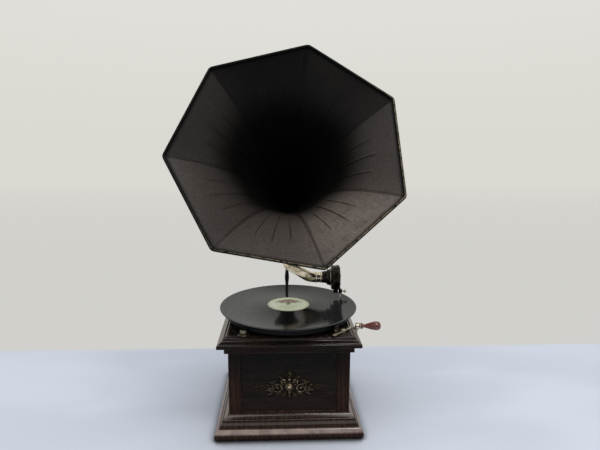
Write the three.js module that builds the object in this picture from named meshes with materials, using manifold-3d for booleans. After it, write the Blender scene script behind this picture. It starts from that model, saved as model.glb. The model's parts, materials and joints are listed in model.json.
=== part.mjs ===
// Horn gramophone, in millimetres: X to the right, Y to the back, Z up.
// The origin is the centre of the base's underside.
import * as THREE from 'three';
import { mergeVertices } from 'three/addons/utils/BufferGeometryUtils.js';
import Module from 'manifold-3d';

const wasm = await Module();
wasm.setup();

// Clearances
const gap = 0.3;
const runningGap = 0.4;
const overrun = 6;

// Case
const bodyHalf = 101.4;
const postWidth = 21;
const panelRecess = 4;
const panelThick = 9;
const railHeight = 8;
const baseReach = 22;
const baseHeight = 38;
const baseBoardThick = 8;
const corniceBottom = 152;
const corniceReach = 16.6;
const deckTop = 176;
const deckThick = 10;
const deckInset = 1.4;

// Turntable and record
const platterRadius = 115;
const platterBottom = 181;
const platterTop = 190.4;
const platterWall = 2.2;
const feltThick = 1.8;
const feltRadius = 113.5;
const recordRadius = 125;
const recordThick = 2.2;
const labelRadius = 38.2;
const labelThick = 0.25;
const spindleRadius = 3.5;
const spindleAboveRecord = 5;

// Horn
const pivotReach = 38.6;
const hornTurn = THREE.MathUtils.degToRad(-0.7);
const hornRise = THREE.MathUtils.degToRad(24.2);
const hornCornerTurn = THREE.MathUtils.degToRad(9.8);
const elbowBendZ = 334.2;
const elbowBendRadius = 36.4;
const throatStub = 4;
const mouthRadius = 187.8;
const hornLength = 255;
const throatRadius = 20.5;
const coneSlope = 0.29;
const flareDecay = 51;
const petalDecay = 95;
const petalCount = 7;
const hornSheet = 0.9;
const rimWireRadius = 2;

// Bracket and tone arm
const armAxisZ = 234;
const ringBottom = 246.4;
const ringTop = 268;
const ringOuter = 25;
const ringFloor = 8;
const elbowRadius = 18.5;
const tubeRadius = 9.6;
const tubeEndRadius = 8.4;
const tubeWall = 1.3;
const tubeDrop = 12;
const armBendX = 54;
const armBendY = 40;
const armBendRadius = 18;
const armEndX = 80;
const spigotRadius = 12;
const flangeRadius = 16;
const flangeThick = 2.6;

// Soundbox
const soundboxRadius = 24;
const soundboxStart = 82;
const soundboxDepth = 17;
const needleTipX = 100.5;
const needleTipY = 33.5;

// Crank
const crankYShare = 0.089;
const crankZ = 117;
const crankThrow = 67.25;
const crankRise = THREE.MathUtils.degToRad(46.8);
const crankClear = 1.5;
const crankArmThick = 6;
const crankShaftRadius = 5;
const ferruleLength = 2.4;
const gripLength = 36;
const gripRadius = 8;

// Spring motor, its sizes as shares of the plates' span
const motorClear = 5.4;
const spindlePinionTeeth = 10;
const wheelTeeth = 40;
const fineModuleShare = 0.016;
const barrelPinionTeeth = 10;
const barrelTeeth = 40;
const barrelModuleShare = 0.024;
const barrelXShare = 0.6;
const wormWheelTeeth = 24;
const wormStarts = 2;
const wormModuleShare = 0.02;
const wormPitchShare = 4.4 / 75;
const governorZ = 131;
const bevelModuleShare = 1 / 60;
const crankBevelTeeth = 12;
const barrelBevelTeeth = 24;
const lowerPlateZ = 62;
const upperPlateZ = 149.5;
const plateThick = 3;

// Facet counts
const roundSides = 18;
const smallSides = 8;
const wideSides = 36;
const pinSides = 5;

// Values that several pieces share
const baseHalf = bodyHalf + baseReach;
const corniceHalf = bodyHalf + corniceReach;
const deckHalf = bodyHalf - deckInset;
const panelFace = bodyHalf - panelRecess;
const innerHalf = panelFace - panelThick;
const pivotY = bodyHalf + pivotReach;
const plateSpan = bodyHalf - postWidth - motorClear;
const fineModule = plateSpan * fineModuleShare;
const barrelModule = plateSpan * barrelModuleShare;
const wormModule = plateSpan * wormModuleShare;
const bevelModule = plateSpan * bevelModuleShare;
const wormPitchRadius = plateSpan * wormPitchShare;
const barrelX = plateSpan * barrelXShare;
const crankY = plateSpan * crankYShare;
const barrelY = crankY;
const crankArmX = corniceHalf + crankClear;
const gripStart = crankArmX + crankArmThick + ferruleLength + 2 * gap;
const recordBottom = platterTop + feltThick;
const recordTop = recordBottom + recordThick;
const needleTipZ = recordTop + gap;
const spindleTop = recordTop + spindleAboveRecord;
const deckBottom = deckTop - deckThick;

const up = new THREE.Vector3(0, 0, 1);
const right = new THREE.Vector3(1, 0, 0);
const vec = (x, y, z) => new THREE.Vector3(x, y, z);
const mix = THREE.MathUtils.lerp;
const fullTurn = 2 * Math.PI;
const quarterTurn = Math.PI / 2;

// Materials
const paint = (color, roughness, metalness) =>
  new THREE.MeshStandardMaterial({ color, roughness, metalness });
const oak = paint(0x3a231a, 0.35, 0);
const oakDark = paint(0x241712, 0.4, 0);
const hornLacquer = paint(0x2b2420, 0.4, 0.3);
const castIron = paint(0x15140f, 0.45, 0.4);
const nickel = paint(0xb9b1a0, 0.28, 0.95);
const steel = paint(0x8a8a88, 0.35, 0.9);
const brass = paint(0xb08a48, 0.35, 0.9);
const gilt = paint(0x8a6a38, 0.4, 0.8);
const shellac = paint(0x131215, 0.2, 0);
const paperGreen = paint(0xbcd0a8, 0.8, 0);
const greenFelt = paint(0x2c3a2a, 0.95, 0);
const redwood = paint(0x6b2c1e, 0.3, 0);
const mica = paint(0xb7ae98, 0.3, 0);
const leather = paint(0x6a4a2c, 0.8, 0);

// Geometry helpers
// A closed mesh with merged corners, no slivers and its faces pointing out.
function closed(geometry) {
  const bare = geometry.clone();
  bare.deleteAttribute('normal');
  bare.deleteAttribute('uv');
  const merged = mergeVertices(bare);
  const place = merged.getAttribute('position');
  const corners = merged.index.array;
  const kept = [];
  let volume = 0;
  for (let i = 0; i < corners.length; i += 3) {
    const [a, b, c] = [corners[i], corners[i + 1], corners[i + 2]];
    if (a === b || b === c || c === a) continue;
    kept.push(a, b, c);
    const pa = new THREE.Vector3().fromBufferAttribute(place, a);
    const pb = new THREE.Vector3().fromBufferAttribute(place, b);
    const pc = new THREE.Vector3().fromBufferAttribute(place, c);
    volume += pa.dot(pb.cross(pc));
  }
  if (volume < 0) kept.reverse();
  merged.setIndex(kept);
  return merged;
}

function toSolid(geometry) {
  const mesh = closed(geometry);
  return new wasm.Manifold(new wasm.Mesh({
    numProp: 3,
    vertProperties: new Float32Array(mesh.getAttribute('position').array),
    triVerts: new Uint32Array(mesh.index.array),
  }));
}

function fromSolid(solid) {
  const mesh = solid.getMesh();
  const geometry = new THREE.BufferGeometry();
  geometry.setAttribute('position', new THREE.BufferAttribute(mesh.vertProperties, 3));
  geometry.setIndex(new THREE.BufferAttribute(mesh.triVerts, 1));
  return geometry;
}

const join = (...parts) => fromSolid(parts.map(toSolid).reduce((a, b) => a.add(b)));
const cut = (body, ...tools) => fromSolid(tools.map(toSolid).reduce((a, b) => a.subtract(b), toSolid(body)));

// Triangles that fill a flat ring of any outline.
function fillRing(ring) {
  const spokes = ring.map((point) => point.clone().sub(ring[0]));
  const normal = vec(0, 0, 0);
  for (let i = 1; i < spokes.length - 1; i += 1) {
    normal.add(spokes[i].clone().cross(spokes[i + 1]));
  }
  const toFlat = new THREE.Quaternion().setFromUnitVectors(normal.normalize(), up);
  const flat = spokes.map((spoke) => spoke.applyQuaternion(toFlat));
  return THREE.ShapeUtils.triangulateShape(flat.map(({ x, y }) => new THREE.Vector2(x, y)), []);
}

// Skin over rings of equal count, closed on itself or capped at both ends.
function loft(rings, endless = false) {
  const count = rings[0].length;
  const places = rings.flat().flatMap((p) => [p.x, p.y, p.z]);
  const corners = [];
  const spans = endless ? rings.length : rings.length - 1;
  for (let i = 0; i < spans; i += 1) {
    const next = (i + 1) % rings.length;
    for (let j = 0; j < count; j += 1) {
      const k = (j + 1) % count;
      corners.push(i * count + j, next * count + j, next * count + k);
      corners.push(i * count + j, next * count + k, i * count + k);
    }
  }
  if (!endless) {
    const last = (rings.length - 1) * count;
    for (const [a, b, c] of fillRing(rings[0])) corners.push(a, b, c);
    for (const [a, b, c] of fillRing(rings.at(-1))) corners.push(last + a, last + c, last + b);
  }
  const geometry = new THREE.BufferGeometry();
  geometry.setAttribute('position', new THREE.Float32BufferAttribute(places, 3));
  geometry.setIndex(corners);
  return closed(geometry);
}

// Round profile of [radius, height] pairs about Z.
function turned(profile, sides = roundSides) {
  const points = profile.map(([radius, height]) => new THREE.Vector2(radius, height));
  return closed(new THREE.LatheGeometry(points, sides).rotateX(quarterTurn));
}

// The same profile about X, its heights running to the right.
const turnedX = (profile, sides) => turned(profile, sides).rotateY(quarterTurn);

const disc = (radius, low, high, sides = smallSides) =>
  turned([[0, low], [radius, low], [radius, high], [0, high]], sides);

const rodX = (radius, start, end, sides) => disc(radius, start, end, sides).rotateY(quarterTurn);

const washer = (outer, inner, low, high, sides) =>
  turned([[inner, low], [outer, low], [outer, high], [inner, high], [inner, low]], sides);

// Square frame with mitred corners: [half width, height] pairs, closed on itself.
function mitred(profile) {
  const loop = [...profile, profile[0]];
  return turned(loop.map(([half, height]) => [half * Math.SQRT2, height]), 4).rotateZ(quarterTurn / 2);
}

const outline = (points) => new THREE.Shape(points.map(([x, y]) => new THREE.Vector2(x, y)));

// Plate of an outline, from one height to another, with round holes of [x, y, radius].
function plate(points, low, high, holes = [], sides = smallSides) {
  const shape = outline(points);
  for (const [x, y, radius] of holes) {
    const hole = new THREE.Path();
    hole.absarc(x, y, radius, 0, fullTurn);
    shape.holes.push(hole);
  }
  const settings = { depth: high - low, bevelEnabled: false, curveSegments: sides };
  return closed(new THREE.ExtrudeGeometry(shape, settings).translate(0, 0, low));
}

function block(x0, x1, y0, y1, z0, z1) {
  return new THREE.BoxGeometry(x1 - x0, y1 - y0, z1 - z0)
    .translate((x0 + x1) / 2, (y0 + y1) / 2, (z0 + z1) / 2);
}

const scaled = (shares, width, height) => shares.map(([x, y]) => [x * width, y * height]);

// Stations along a bent centre line: straight runs with an arc of the given radius at each corner.
function route(corners, bendRadii, arcSteps) {
  const stations = [];
  const first = corners[1].clone().sub(corners[0]).normalize();
  stations.push({ at: corners[0], along: first });
  for (let i = 1; i < corners.length - 1; i += 1) {
    const before = corners[i].clone().sub(corners[i - 1]).normalize();
    const after = corners[i + 1].clone().sub(corners[i]).normalize();
    const angle = before.angleTo(after);
    const radius = bendRadii[i - 1];
    const reach = radius * Math.tan(angle / 2);
    const start = corners[i].clone().addScaledVector(before, -reach);
    const inward = after.clone().addScaledVector(before, -before.dot(after)).normalize();
    for (let k = 0; k <= arcSteps; k += 1) {
      const turn = (angle * k) / arcSteps;
      const at = start.clone()
        .addScaledVector(before, radius * Math.sin(turn))
        .addScaledVector(inward, radius * (1 - Math.cos(turn)));
      const along = before.clone().multiplyScalar(Math.cos(turn))
        .addScaledVector(inward, Math.sin(turn));
      stations.push({ at, along });
    }
  }
  const end = corners.at(-1);
  stations.push({ at: end, along: end.clone().sub(corners.at(-2)).normalize() });
  return stations;
}

// Rings square to a route, carried along it without twist.
function ringsAlong(stations, radii, sides, side = right) {
  let across = side.clone();
  let previous = stations[0].along;
  return stations.map(({ at, along }, i) => {
    across = across.clone().applyQuaternion(new THREE.Quaternion().setFromUnitVectors(previous, along));
    previous = along;
    const other = along.clone().cross(across);
    return Array.from({ length: sides }, (_, j) => {
      const angle = (fullTurn * j) / sides;
      return at.clone()
        .addScaledVector(across, radii[i] * Math.cos(angle))
        .addScaledVector(other, radii[i] * Math.sin(angle));
    });
  });
}

// Open tube: outer rings one way and inner rings back.
function tube(stations, outer, inner, sides, side) {
  const outside = ringsAlong(stations, outer, sides, side);
  const inside = ringsAlong(stations, inner, sides, side).reverse();
  return loft([...outside, ...inside], true);
}

function add(group, name, geometry, material, x = 0, y = 0, z = 0) {
  const mesh = new THREE.Mesh(geometry, material);
  mesh.name = name;
  mesh.position.set(x, y, z);
  group.add(mesh);
  return mesh;
}

// Case of moulded oak
const baseShares = [
  [0.88, 0], [0.98, 0.08], [1, 0.22], [0.97, 0.34], [0.87, 0.43], [0.76, 0.47], [0.71, 0.56], [0.6, 0.68],
  [0.47, 0.79], [0.42, 0.85], [0.46, 0.9], [0.45, 0.95], [0.38, 0.97], [0.2, 1],
];
const corniceShares = [
  [0.26, 0], [0.37, 0.04], [0.37, 0.2], [0.52, 0.26], [0.72, 0.33], [0.9, 0.38], [0.98, 0.44], [1, 0.5],
  [0.99, 0.62], [0.93, 0.69], [0.8, 0.76], [0.62, 0.84], [0.48, 0.91], [0.41, 0.94], [0.36, 0.985],
  [0.28, 0.985], [0.22, 0.955], [0.16, 1],
];

function basePlinth() {
  const reach = baseHalf - bodyHalf;
  const outer = baseShares.map(([out, rise]) => [bodyHalf + out * reach, rise * baseHeight]);
  return mitred([[innerHalf, 0], ...outer, [innerHalf, baseHeight]]);
}

function cornice() {
  const reach = corniceHalf - bodyHalf;
  const height = deckTop - corniceBottom;
  const outer = corniceShares.map(([out, rise]) => [bodyHalf + out * reach, corniceBottom + rise * height]);
  const rebate = deckHalf + gap;
  return mitred([[innerHalf, corniceBottom], ...outer, [rebate, deckTop], [rebate, deckBottom],
    [innerHalf, deckBottom]]);
}

// Corner post section: the outer corner is rounded between two fine grooves.
const postShares = [
  [1, 0], [1, 0.14], [0.95, 0.18], [1, 0.22], [1, 0.7], [0.95, 0.74], [0.985, 0.8], [1, 0.88],
  [0.97, 0.97],
];

function cornerPost() {
  const face = scaled(postShares, postWidth, postWidth);
  const mirrored = face.map(([x, y]) => [y, x]).reverse();
  return plate([[0, 0], ...face, ...mirrored.slice(1)], baseHeight, corniceBottom)
    .translate(bodyHalf - postWidth, bodyHalf - postWidth, 0);
}

// A side panel with its top rail standing proud, made at the front and turned to its side.
const railRakeShare = 0.35;

function sidePanel(turns, ...bores) {
  const halfWidth = bodyHalf - postWidth;
  const back = -innerHalf;
  const face = -panelFace;
  const railFoot = corniceBottom - railHeight;
  const proud = face - panelRecess + gap;
  const section = outline([
    [back, baseHeight], [back, corniceBottom], [proud, corniceBottom],
    [proud, railFoot + railHeight * railRakeShare], [face, railFoot], [face, baseHeight],
  ]);
  const board = new THREE.ExtrudeGeometry(section, { depth: 2 * halfWidth, bevelEnabled: false })
    .rotateX(quarterTurn)
    .rotateZ(quarterTurn)
    .translate(-halfWidth, 0, 0);
  const placed = closed(board).rotateZ(turns * quarterTurn);
  return bores.length ? cut(placed, ...bores) : placed;
}

const spindleHoleRadius = 9;

function deck(knobX, knobY, stemRadius) {
  const corners = scaled([[-1, -1], [1, -1], [1, 1], [-1, 1]], deckHalf, deckHalf);
  return plate(corners, deckBottom, deckTop, [[0, 0, spindleHoleRadius], [knobX, knobY, stemRadius + gap]]);
}

// Gilt ornament of scrolls and leaves on the front panel, one casting.
const ornamentZ = 86;
const ornamentHalf = 42;
const ornamentThick = 3;
const eyeShare = 0.1;
const eyePlaceShare = 0.76;
const eyeDropShare = 0.12;
const bossShare = 0.16;
const stemShare = 0.24;
const scrollShares = [
  [0, 0.62], [0.1, 0.5], [0.2, 0.42], [0.34, 0.36], [0.46, 0.2], [0.5, 0.02], [0.66, 0.14], [0.86, 0.12],
  [1, -0.06], [0.96, -0.26], [0.8, -0.36], [0.62, -0.3], [0.48, -0.36], [0.34, -0.42], [0.2, -0.36],
  [0.12, -0.52], [0, -0.62],
];
const sprayShares = [[1.1, 0], [1.22, 0.08], [1.4, 0.05], [1.6, -0.02], [1.42, -0.12], [1.22, -0.1]];

function ornament() {
  const rightSide = scaled(scrollShares, ornamentHalf, ornamentHalf);
  const leftSide = rightSide.slice(1, -1).map(([x, y]) => [-x, y]).reverse();
  const shell = plate([...rightSide.reverse(), ...leftSide.reverse()], 0, ornamentThick);
  const eyes = [-1, 1].map((side) => {
    const eye = disc(ornamentHalf * eyeShare, -overrun, ornamentThick + overrun);
    return eye.translate(side * ornamentHalf * eyePlaceShare, -ornamentHalf * eyeDropShare, 0);
  });
  const bossRadius = ornamentHalf * bossShare;
  const boss = turned([
    [0, 0], [bossRadius, 0], [bossRadius, ornamentThick], [bossRadius / 2, 2 * ornamentThick],
    [0, 2 * ornamentThick + gap],
  ], smallSides);
  const sprays = [-1, 1].map((side) => {
    const leaf = scaled(sprayShares, ornamentHalf, ornamentHalf)
      .map(([x, y]) => [side * (x - stemShare * ornamentHalf), y]);
    return plate(side > 0 ? leaf.reverse() : leaf, 0, ornamentThick / 2);
  });
  return cut(join(shell, boss, ...sprays), ...eyes).rotateX(quarterTurn)
    .translate(0, -panelFace - gap, ornamentZ);
}

const crankBoreRadius = 9;

function buildCase(group) {
  const boardHalf = innerHalf - gap;
  add(group, 'base_plinth', basePlinth(), oak);
  add(group, 'bottom_board', block(-boardHalf, boardHalf, -boardHalf, boardHalf, 0, baseBoardThick), oakDark);
  const corners = ['back_right', 'back_left', 'front_left', 'front_right'];
  corners.forEach((corner, i) => {
    add(group, `corner_post_${corner}`, cornerPost().rotateZ(i * quarterTurn), oak);
  });
  const crankBore = rodX(crankBoreRadius, 0, baseHalf).translate(0, crankY, crankZ);
  add(group, 'front_panel', sidePanel(0), oak);
  add(group, 'right_panel', sidePanel(1, crankBore), oak);
  add(group, 'back_panel', sidePanel(2), oak);
  add(group, 'left_panel', sidePanel(3), oak);
  add(group, 'top_moulding', cornice(), oak);
  add(group, 'deck_board', deck(speedX, speedY, speedStemRadius), oak);
  add(group, 'front_ornament', ornament(), gilt);
}

// Crank escutcheon: a round plate with a raised collar.
const escutcheonRadius = 13.5;
const escutcheonShares = [[1, 0], [1, 0.3], [0.9, 0.45], [0.62, 0.5], [0.58, 1]];
const escutcheonThick = 6;

function escutcheon() {
  const bore = crankShaftRadius + runningGap;
  const rim = scaled(escutcheonShares, escutcheonRadius, escutcheonThick);
  return turnedX([[bore, 0], ...rim, [bore, escutcheonThick], [bore, 0]], roundSides)
    .translate(panelFace + gap, crankY, crankZ);
}

// Turntable: dished platter, felt, record and label, on the spindle
const hubRadius = 12;
const hubDrop = 4;

function platter() {
  const bore = spindleRadius + gap;
  const under = platterTop - platterWall;
  return turned([
    [bore, under - hubDrop], [hubRadius, under - hubDrop], [hubRadius, under],
    [platterRadius - platterWall, under], [platterRadius - platterWall, platterBottom],
    [platterRadius, platterBottom], [platterRadius, platterTop - platterWall / 2],
    [platterRadius - platterWall / 2, platterTop], [bore, platterTop], [bore, under - hubDrop],
  ], wideSides);
}

const recordEdgeShare = 0.3;

function record() {
  const bore = spindleRadius + gap;
  const edge = recordThick * recordEdgeShare;
  return turned([
    [bore, recordBottom], [recordRadius - edge, recordBottom], [recordRadius, recordBottom + edge],
    [recordRadius, recordTop - edge], [recordRadius - edge, recordTop], [bore, recordTop],
    [bore, recordBottom],
  ], wideSides);
}

// Gear outline with involute flanks, its teeth thinned for backlash.
const pressureAngle = THREE.MathUtils.degToRad(20);
const involute = (angle) => Math.tan(angle) - angle;
const addendumShare = 0.9;
const dedendumShare = 1.3;
const backlashShare = 0.34;

function gearOutline(teeth, module, flankSteps, phase = 0, tipShare = addendumShare) {
  const pitch = (teeth * module) / 2;
  const base = pitch * Math.cos(pressureAngle);
  const root = pitch - dedendumShare * module;
  const tip = pitch + tipShare * module;
  const halfAtPitch = (quarterTurn - backlashShare) / teeth;
  const half = (radius) => {
    const slope = radius > base ? Math.acos(base / radius) : 0;
    return halfAtPitch + involute(pressureAngle) - involute(slope);
  };
  const radii = Array.from({ length: flankSteps }, (_, i) => mix(root, tip, i / (flankSteps - 1)));
  const points = [];
  for (let tooth = 0; tooth < teeth; tooth += 1) {
    const middle = phase + (fullTurn * tooth) / teeth;
    const rising = radii.map((radius) => [radius, middle - half(radius)]);
    const falling = [...radii].reverse().map((radius) => [radius, middle + half(radius)]);
    points.push(...rising, ...falling);
  }
  return points.map(([radius, angle]) => [radius * Math.cos(angle), radius * Math.sin(angle)]);
}

// Straight gear from one height to another.
const gear = (teeth, module, low, high, steps, phase) =>
  plate(gearOutline(teeth, module, steps, phase), low, high);

// Bevel gear about Z: the outline shrinks towards the meeting point of the two shafts.
const bevelFaceShare = 0.32;
const bevelTipShare = 0.6;

function bevelGear(teeth, otherTeeth, phase) {
  const apexHeight = (otherTeeth * bevelModule) / 2;
  const big = gearOutline(teeth, bevelModule, 2, phase, bevelTipShare);
  const small = 1 - bevelFaceShare;
  return loft([1, small].map((share) =>
    big.map(([x, y]) => vec(x * share, y * share, -apexHeight * share))));
}

// Train places worked out from the tooth counts
const wheelPitch = (wheelTeeth * fineModule) / 2;
const spindlePinionPitch = (spindlePinionTeeth * fineModule) / 2;
const barrelPitch = (barrelTeeth * barrelModule) / 2;
const barrelPinionPitch = (barrelPinionTeeth * barrelModule) / 2;

function intermediatePlace() {
  const near = spindlePinionPitch + wheelPitch;
  const far = barrelPitch + barrelPinionPitch;
  const span = Math.hypot(barrelX, barrelY);
  const along = (near * near - far * far + span * span) / (2 * span);
  const off = Math.sqrt(near * near - along * along);
  const [dx, dy] = [barrelX / span, barrelY / span];
  return [along * dx - off * dy, along * dy + off * dx];
}
const [wheelX, wheelY] = intermediatePlace();

const pinionLow = 109;
const pinionHigh = 118;
const wheelLow = 112;
const wheelHigh = 115;
const barrelGearLow = 70;
const barrelGearHigh = 74;
const lowPinionLow = 68;
const lowPinionHigh = 77;
const arborRadius = 3;
const arborEnd = 4;

// Twisted wheel whose slanted teeth meet the governor's worm.
const wormLead = wormStarts * Math.PI * wormModule;
const wormSlope = wormLead / (fullTurn * wormPitchRadius);
const wormWheelPitch = (wormWheelTeeth * wormModule) / 2;
const wormWheelHalf = 3;
const governorY = -(wormWheelPitch + wormPitchRadius);

function wormWheel() {
  const rings = [-wormWheelHalf, wormWheelHalf].map((z) => {
    const turn = (z * wormSlope) / wormWheelPitch;
    const ring = gearOutline(wormWheelTeeth, wormModule, 2, turn - quarterTurn + Math.PI / wormWheelTeeth);
    return ring.map(([x, y]) => vec(x, y, governorZ + z));
  });
  return loft(rings);
}

function spindle() {
  const nose = spindleRadius / 2;
  const shaft = turned([
    [0, lowerPlateZ - arborEnd], [arborRadius, lowerPlateZ - arborEnd], [arborRadius, upperPlateZ - arborEnd],
    [spindleRadius, upperPlateZ - arborEnd], [spindleRadius, spindleTop - nose], [nose, spindleTop],
    [0, spindleTop],
  ], smallSides);
  const collarTop = platterTop - platterWall - hubDrop - gap;
  const collar = disc(hubRadius / 2, collarTop - hubDrop, collarTop);
  const pinion = gear(spindlePinionTeeth, fineModule, pinionLow, pinionHigh, 2, pinionPhase);
  return join(shaft, collar, pinion, wormWheel());
}

// The spindle's tooth space faces a tooth of the intermediate wheel.
const wheelAngle = Math.atan2(wheelY, wheelX);
const pinionPhase = wheelAngle + Math.PI / spindlePinionTeeth;
const barrelAngle = Math.atan2(barrelY - wheelY, barrelX - wheelX);

function intermediateGear() {
  const arbor = disc(arborRadius, lowerPlateZ - arborEnd, upperPlateZ + plateThick + arborEnd);
  const wheel = gear(wheelTeeth, fineModule, wheelLow, wheelHigh, 2, wheelAngle + Math.PI);
  const pinion = gear(barrelPinionTeeth, barrelModule, lowPinionLow, lowPinionHigh, 2,
    barrelAngle + Math.PI / barrelPinionTeeth);
  return join(arbor, wheel, pinion).translate(wheelX, wheelY, 0);
}

// Mainspring barrel: an open drum with the great gear at its foot, closed by a lid
const barrelRadiusShare = 0.44;
const barrelRadius = plateSpan * barrelRadiusShare;
const barrelWall = 2;
const barrelHigh = 104;
const barrelHub = 9;
const windingArborRadius = 5;

function springBarrel() {
  const bore = windingArborRadius + runningGap;
  const drum = turned([
    [bore, lowPinionLow], [barrelHub, lowPinionLow], [barrelHub, barrelGearLow],
    [barrelRadius, barrelGearLow], [barrelRadius, barrelHigh], [barrelRadius - barrelWall, barrelHigh],
    [barrelRadius - barrelWall, barrelGearHigh], [bore, barrelGearHigh], [bore, lowPinionLow],
  ], roundSides);
  const ring = cut(gear(barrelTeeth, barrelModule, barrelGearLow, barrelGearHigh, 2, barrelAngle + Math.PI),
    disc(barrelRadius - barrelWall, barrelGearLow - overrun, barrelGearHigh + overrun, roundSides));
  return join(drum, ring).translate(barrelX, barrelY, 0);
}

function barrelLid() {
  const bore = windingArborRadius + runningGap;
  return washer(barrelRadius, bore, barrelHigh, barrelHigh + barrelWall, roundSides)
    .translate(barrelX, barrelY, 0);
}

// Mainspring: a spiral ribbon lying against the drum's wall.
const springTurns = 4;
const springPitch = 2.8;
const springThick = 1;
const springSteps = 12;

function mainspring() {
  const outer = (barrelRadius - barrelWall) * Math.cos(Math.PI / roundSides) - gap - springThick;
  const low = barrelGearHigh + gap;
  const high = barrelHigh - gap;
  const rings = Array.from({ length: springTurns * springSteps + 1 }, (_, i) => {
    const turn = i / springSteps;
    const angle = fullTurn * turn;
    const radius = outer - springPitch * turn;
    const [c, s] = [Math.cos(angle), Math.sin(angle)];
    return [[radius, low], [radius + springThick, low], [radius + springThick, high], [radius, high]]
      .map(([r, z]) => vec(r * c, r * s, z));
  });
  return loft(rings).translate(barrelX, barrelY, 0);
}

const bevelHub = 9;

function windingArbor() {
  const shaft = turned([
    [0, lowerPlateZ - arborEnd], [arborRadius, lowerPlateZ - arborEnd], [arborRadius, lowPinionLow - gap],
    [windingArborRadius, lowPinionLow - gap], [windingArborRadius, crankZ - bevelHub],
    [arborRadius, crankZ - bevelHub], [arborRadius, upperPlateZ + plateThick + arborEnd],
    [0, upperPlateZ + plateThick + arborEnd],
  ], smallSides);
  const teeth = bevelGear(barrelBevelTeeth, crankBevelTeeth, 0).translate(0, 0, crankZ);
  return join(shaft, teeth).translate(barrelX, barrelY, 0);
}

// Winding shaft along X with its bevel pinion.
const windingShaftEnd = panelFace + 2 * gap;

function windingShaft() {
  const bevelBack = (barrelBevelTeeth * bevelModule) / 2;
  const length = windingShaftEnd - barrelX - bevelBack;
  const teeth = bevelGear(crankBevelTeeth, barrelBevelTeeth, Math.PI / crankBevelTeeth)
    .rotateY(-quarterTurn);
  const shaft = rodX(crankShaftRadius, 0, length).translate(bevelBack - gap, 0, 0);
  return join(teeth, shaft).translate(barrelX, crankY, crankZ);
}

// Governor: a worm shaft with a friction disc, and three weights on leaf springs between two collars
const governorLeftShare = -16 / 75;
const governorRightShare = 62 / 75;
const firstCollarShare = 14 / 75;
const secondCollarShare = 46 / 75;
const governorLeft = plateSpan * governorLeftShare;
const governorRight = plateSpan * governorRightShare;
const firstCollar = plateSpan * firstCollarShare;
const secondCollar = plateSpan * secondCollarShare;
const wormHalf = 8;
const wormSides = 12;
const wormSteps = 12;
const wormCrestShare = 0.3;
const wormRootShare = 0.62;
const slopeShare = 0.5;
const collarRadius = 5;
const collarLength = 4;
const frictionDiscRadius = 12;
const frictionDiscThick = 2;
const pivotRadius = 1.8;
const weightCount = 3;
const ballSides = 8;
const weightRadius = 4.8;
const weightOut = 10;
const leafThick = 0.6;
const leafWidth = 4;
const bowSteps = 4;

function worm() {
  const crest = wormPitchRadius + addendumShare * wormModule - gap;
  const root = wormPitchRadius - dedendumShare * wormModule;
  const height = (angle, x) => {
    const turns = ((angle / fullTurn - x / wormLead) * wormStarts) % 1;
    const phase = Math.abs(((turns + 1) % 1) - slopeShare) / slopeShare;
    const rise = THREE.MathUtils.clamp((phase - wormCrestShare) / (wormRootShare - wormCrestShare), 0, 1);
    return mix(crest, root, rise);
  };
  const rings = Array.from({ length: wormSteps + 1 }, (_, i) => {
    const x = mix(-wormHalf, wormHalf, i / wormSteps);
    return Array.from({ length: wormSides }, (_, j) => {
      const angle = (fullTurn * j) / wormSides;
      const radius = height(angle - quarterTurn, x);
      return vec(x, radius * Math.cos(angle), radius * Math.sin(angle));
    });
  });
  return loft(rings);
}

function governorSpindle() {
  const discStart = secondCollar + collarLength + gap;
  return join(
    rodX(pivotRadius, governorLeft, governorRight),
    worm(),
    rodX(frictionDiscRadius, discStart, discStart + frictionDiscThick),
  ).translate(0, governorY, governorZ);
}

// A round weight riveted to a bowed leaf that starts and ends in the collars.
function governorWeight(turn) {
  const start = firstCollar + collarLength / 2;
  const end = secondCollar + collarLength / 2;
  const foot = collarRadius - leafThick;
  const bow = Array.from({ length: bowSteps + 1 }, (_, i) => {
    const share = i / bowSteps;
    const rise = Math.sin(Math.PI * share);
    return { x: mix(start, end, share), r: mix(foot, weightOut - leafThick / 2, rise) };
  });
  const leaf = loft(bow.map(({ x, r }) => [
    vec(x, -leafWidth / 2, r), vec(x, leafWidth / 2, r),
    vec(x, leafWidth / 2, r + leafThick), vec(x, -leafWidth / 2, r + leafThick),
  ]));
  const ball = new THREE.SphereGeometry(weightRadius, ballSides, ballSides / 2 + 1)
    .translate((start + end) / 2, 0, weightOut);
  return join(leaf, ball).rotateX(turn);
}

function governorWeights() {
  const bore = pivotRadius + gap;
  const collars = [firstCollar, secondCollar].map((start) =>
    washer(collarRadius, bore, start, start + collarLength, smallSides).rotateY(quarterTurn));
  const weights = Array.from({ length: weightCount }, (_, i) => governorWeight((fullTurn * i) / weightCount));
  return join(...collars, ...weights).translate(0, governorY, governorZ);
}

// Motor frame: two plates, four pillars and the lugs of the governor
const plateShares = [[-0.72, -0.78], [0.9, -0.78], [1, -0.62], [1, 0.9], [0.9, 1], [-0.34, 1], [-0.72, 0.62]];
const pillarRadius = 4;
const pillarShares = [[-0.62, -0.68], [0.9, -0.66], [0.9, 0.92], [-0.38, 0.86]];
const hangerRadius = 7;

const pillarPlaces = () => scaled(pillarShares, plateSpan, plateSpan);

// Plate with the bearing holes of the spindle, the intermediate gear and the winding arbor.
function motorPlate(low, spindleSize) {
  const holes = [[0, 0, spindleSize + gap], [wheelX, wheelY, arborRadius + gap],
    [barrelX, barrelY, arborRadius + gap]];
  return plate(scaled(plateShares, plateSpan, plateSpan), low, low + plateThick, holes);
}

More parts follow.
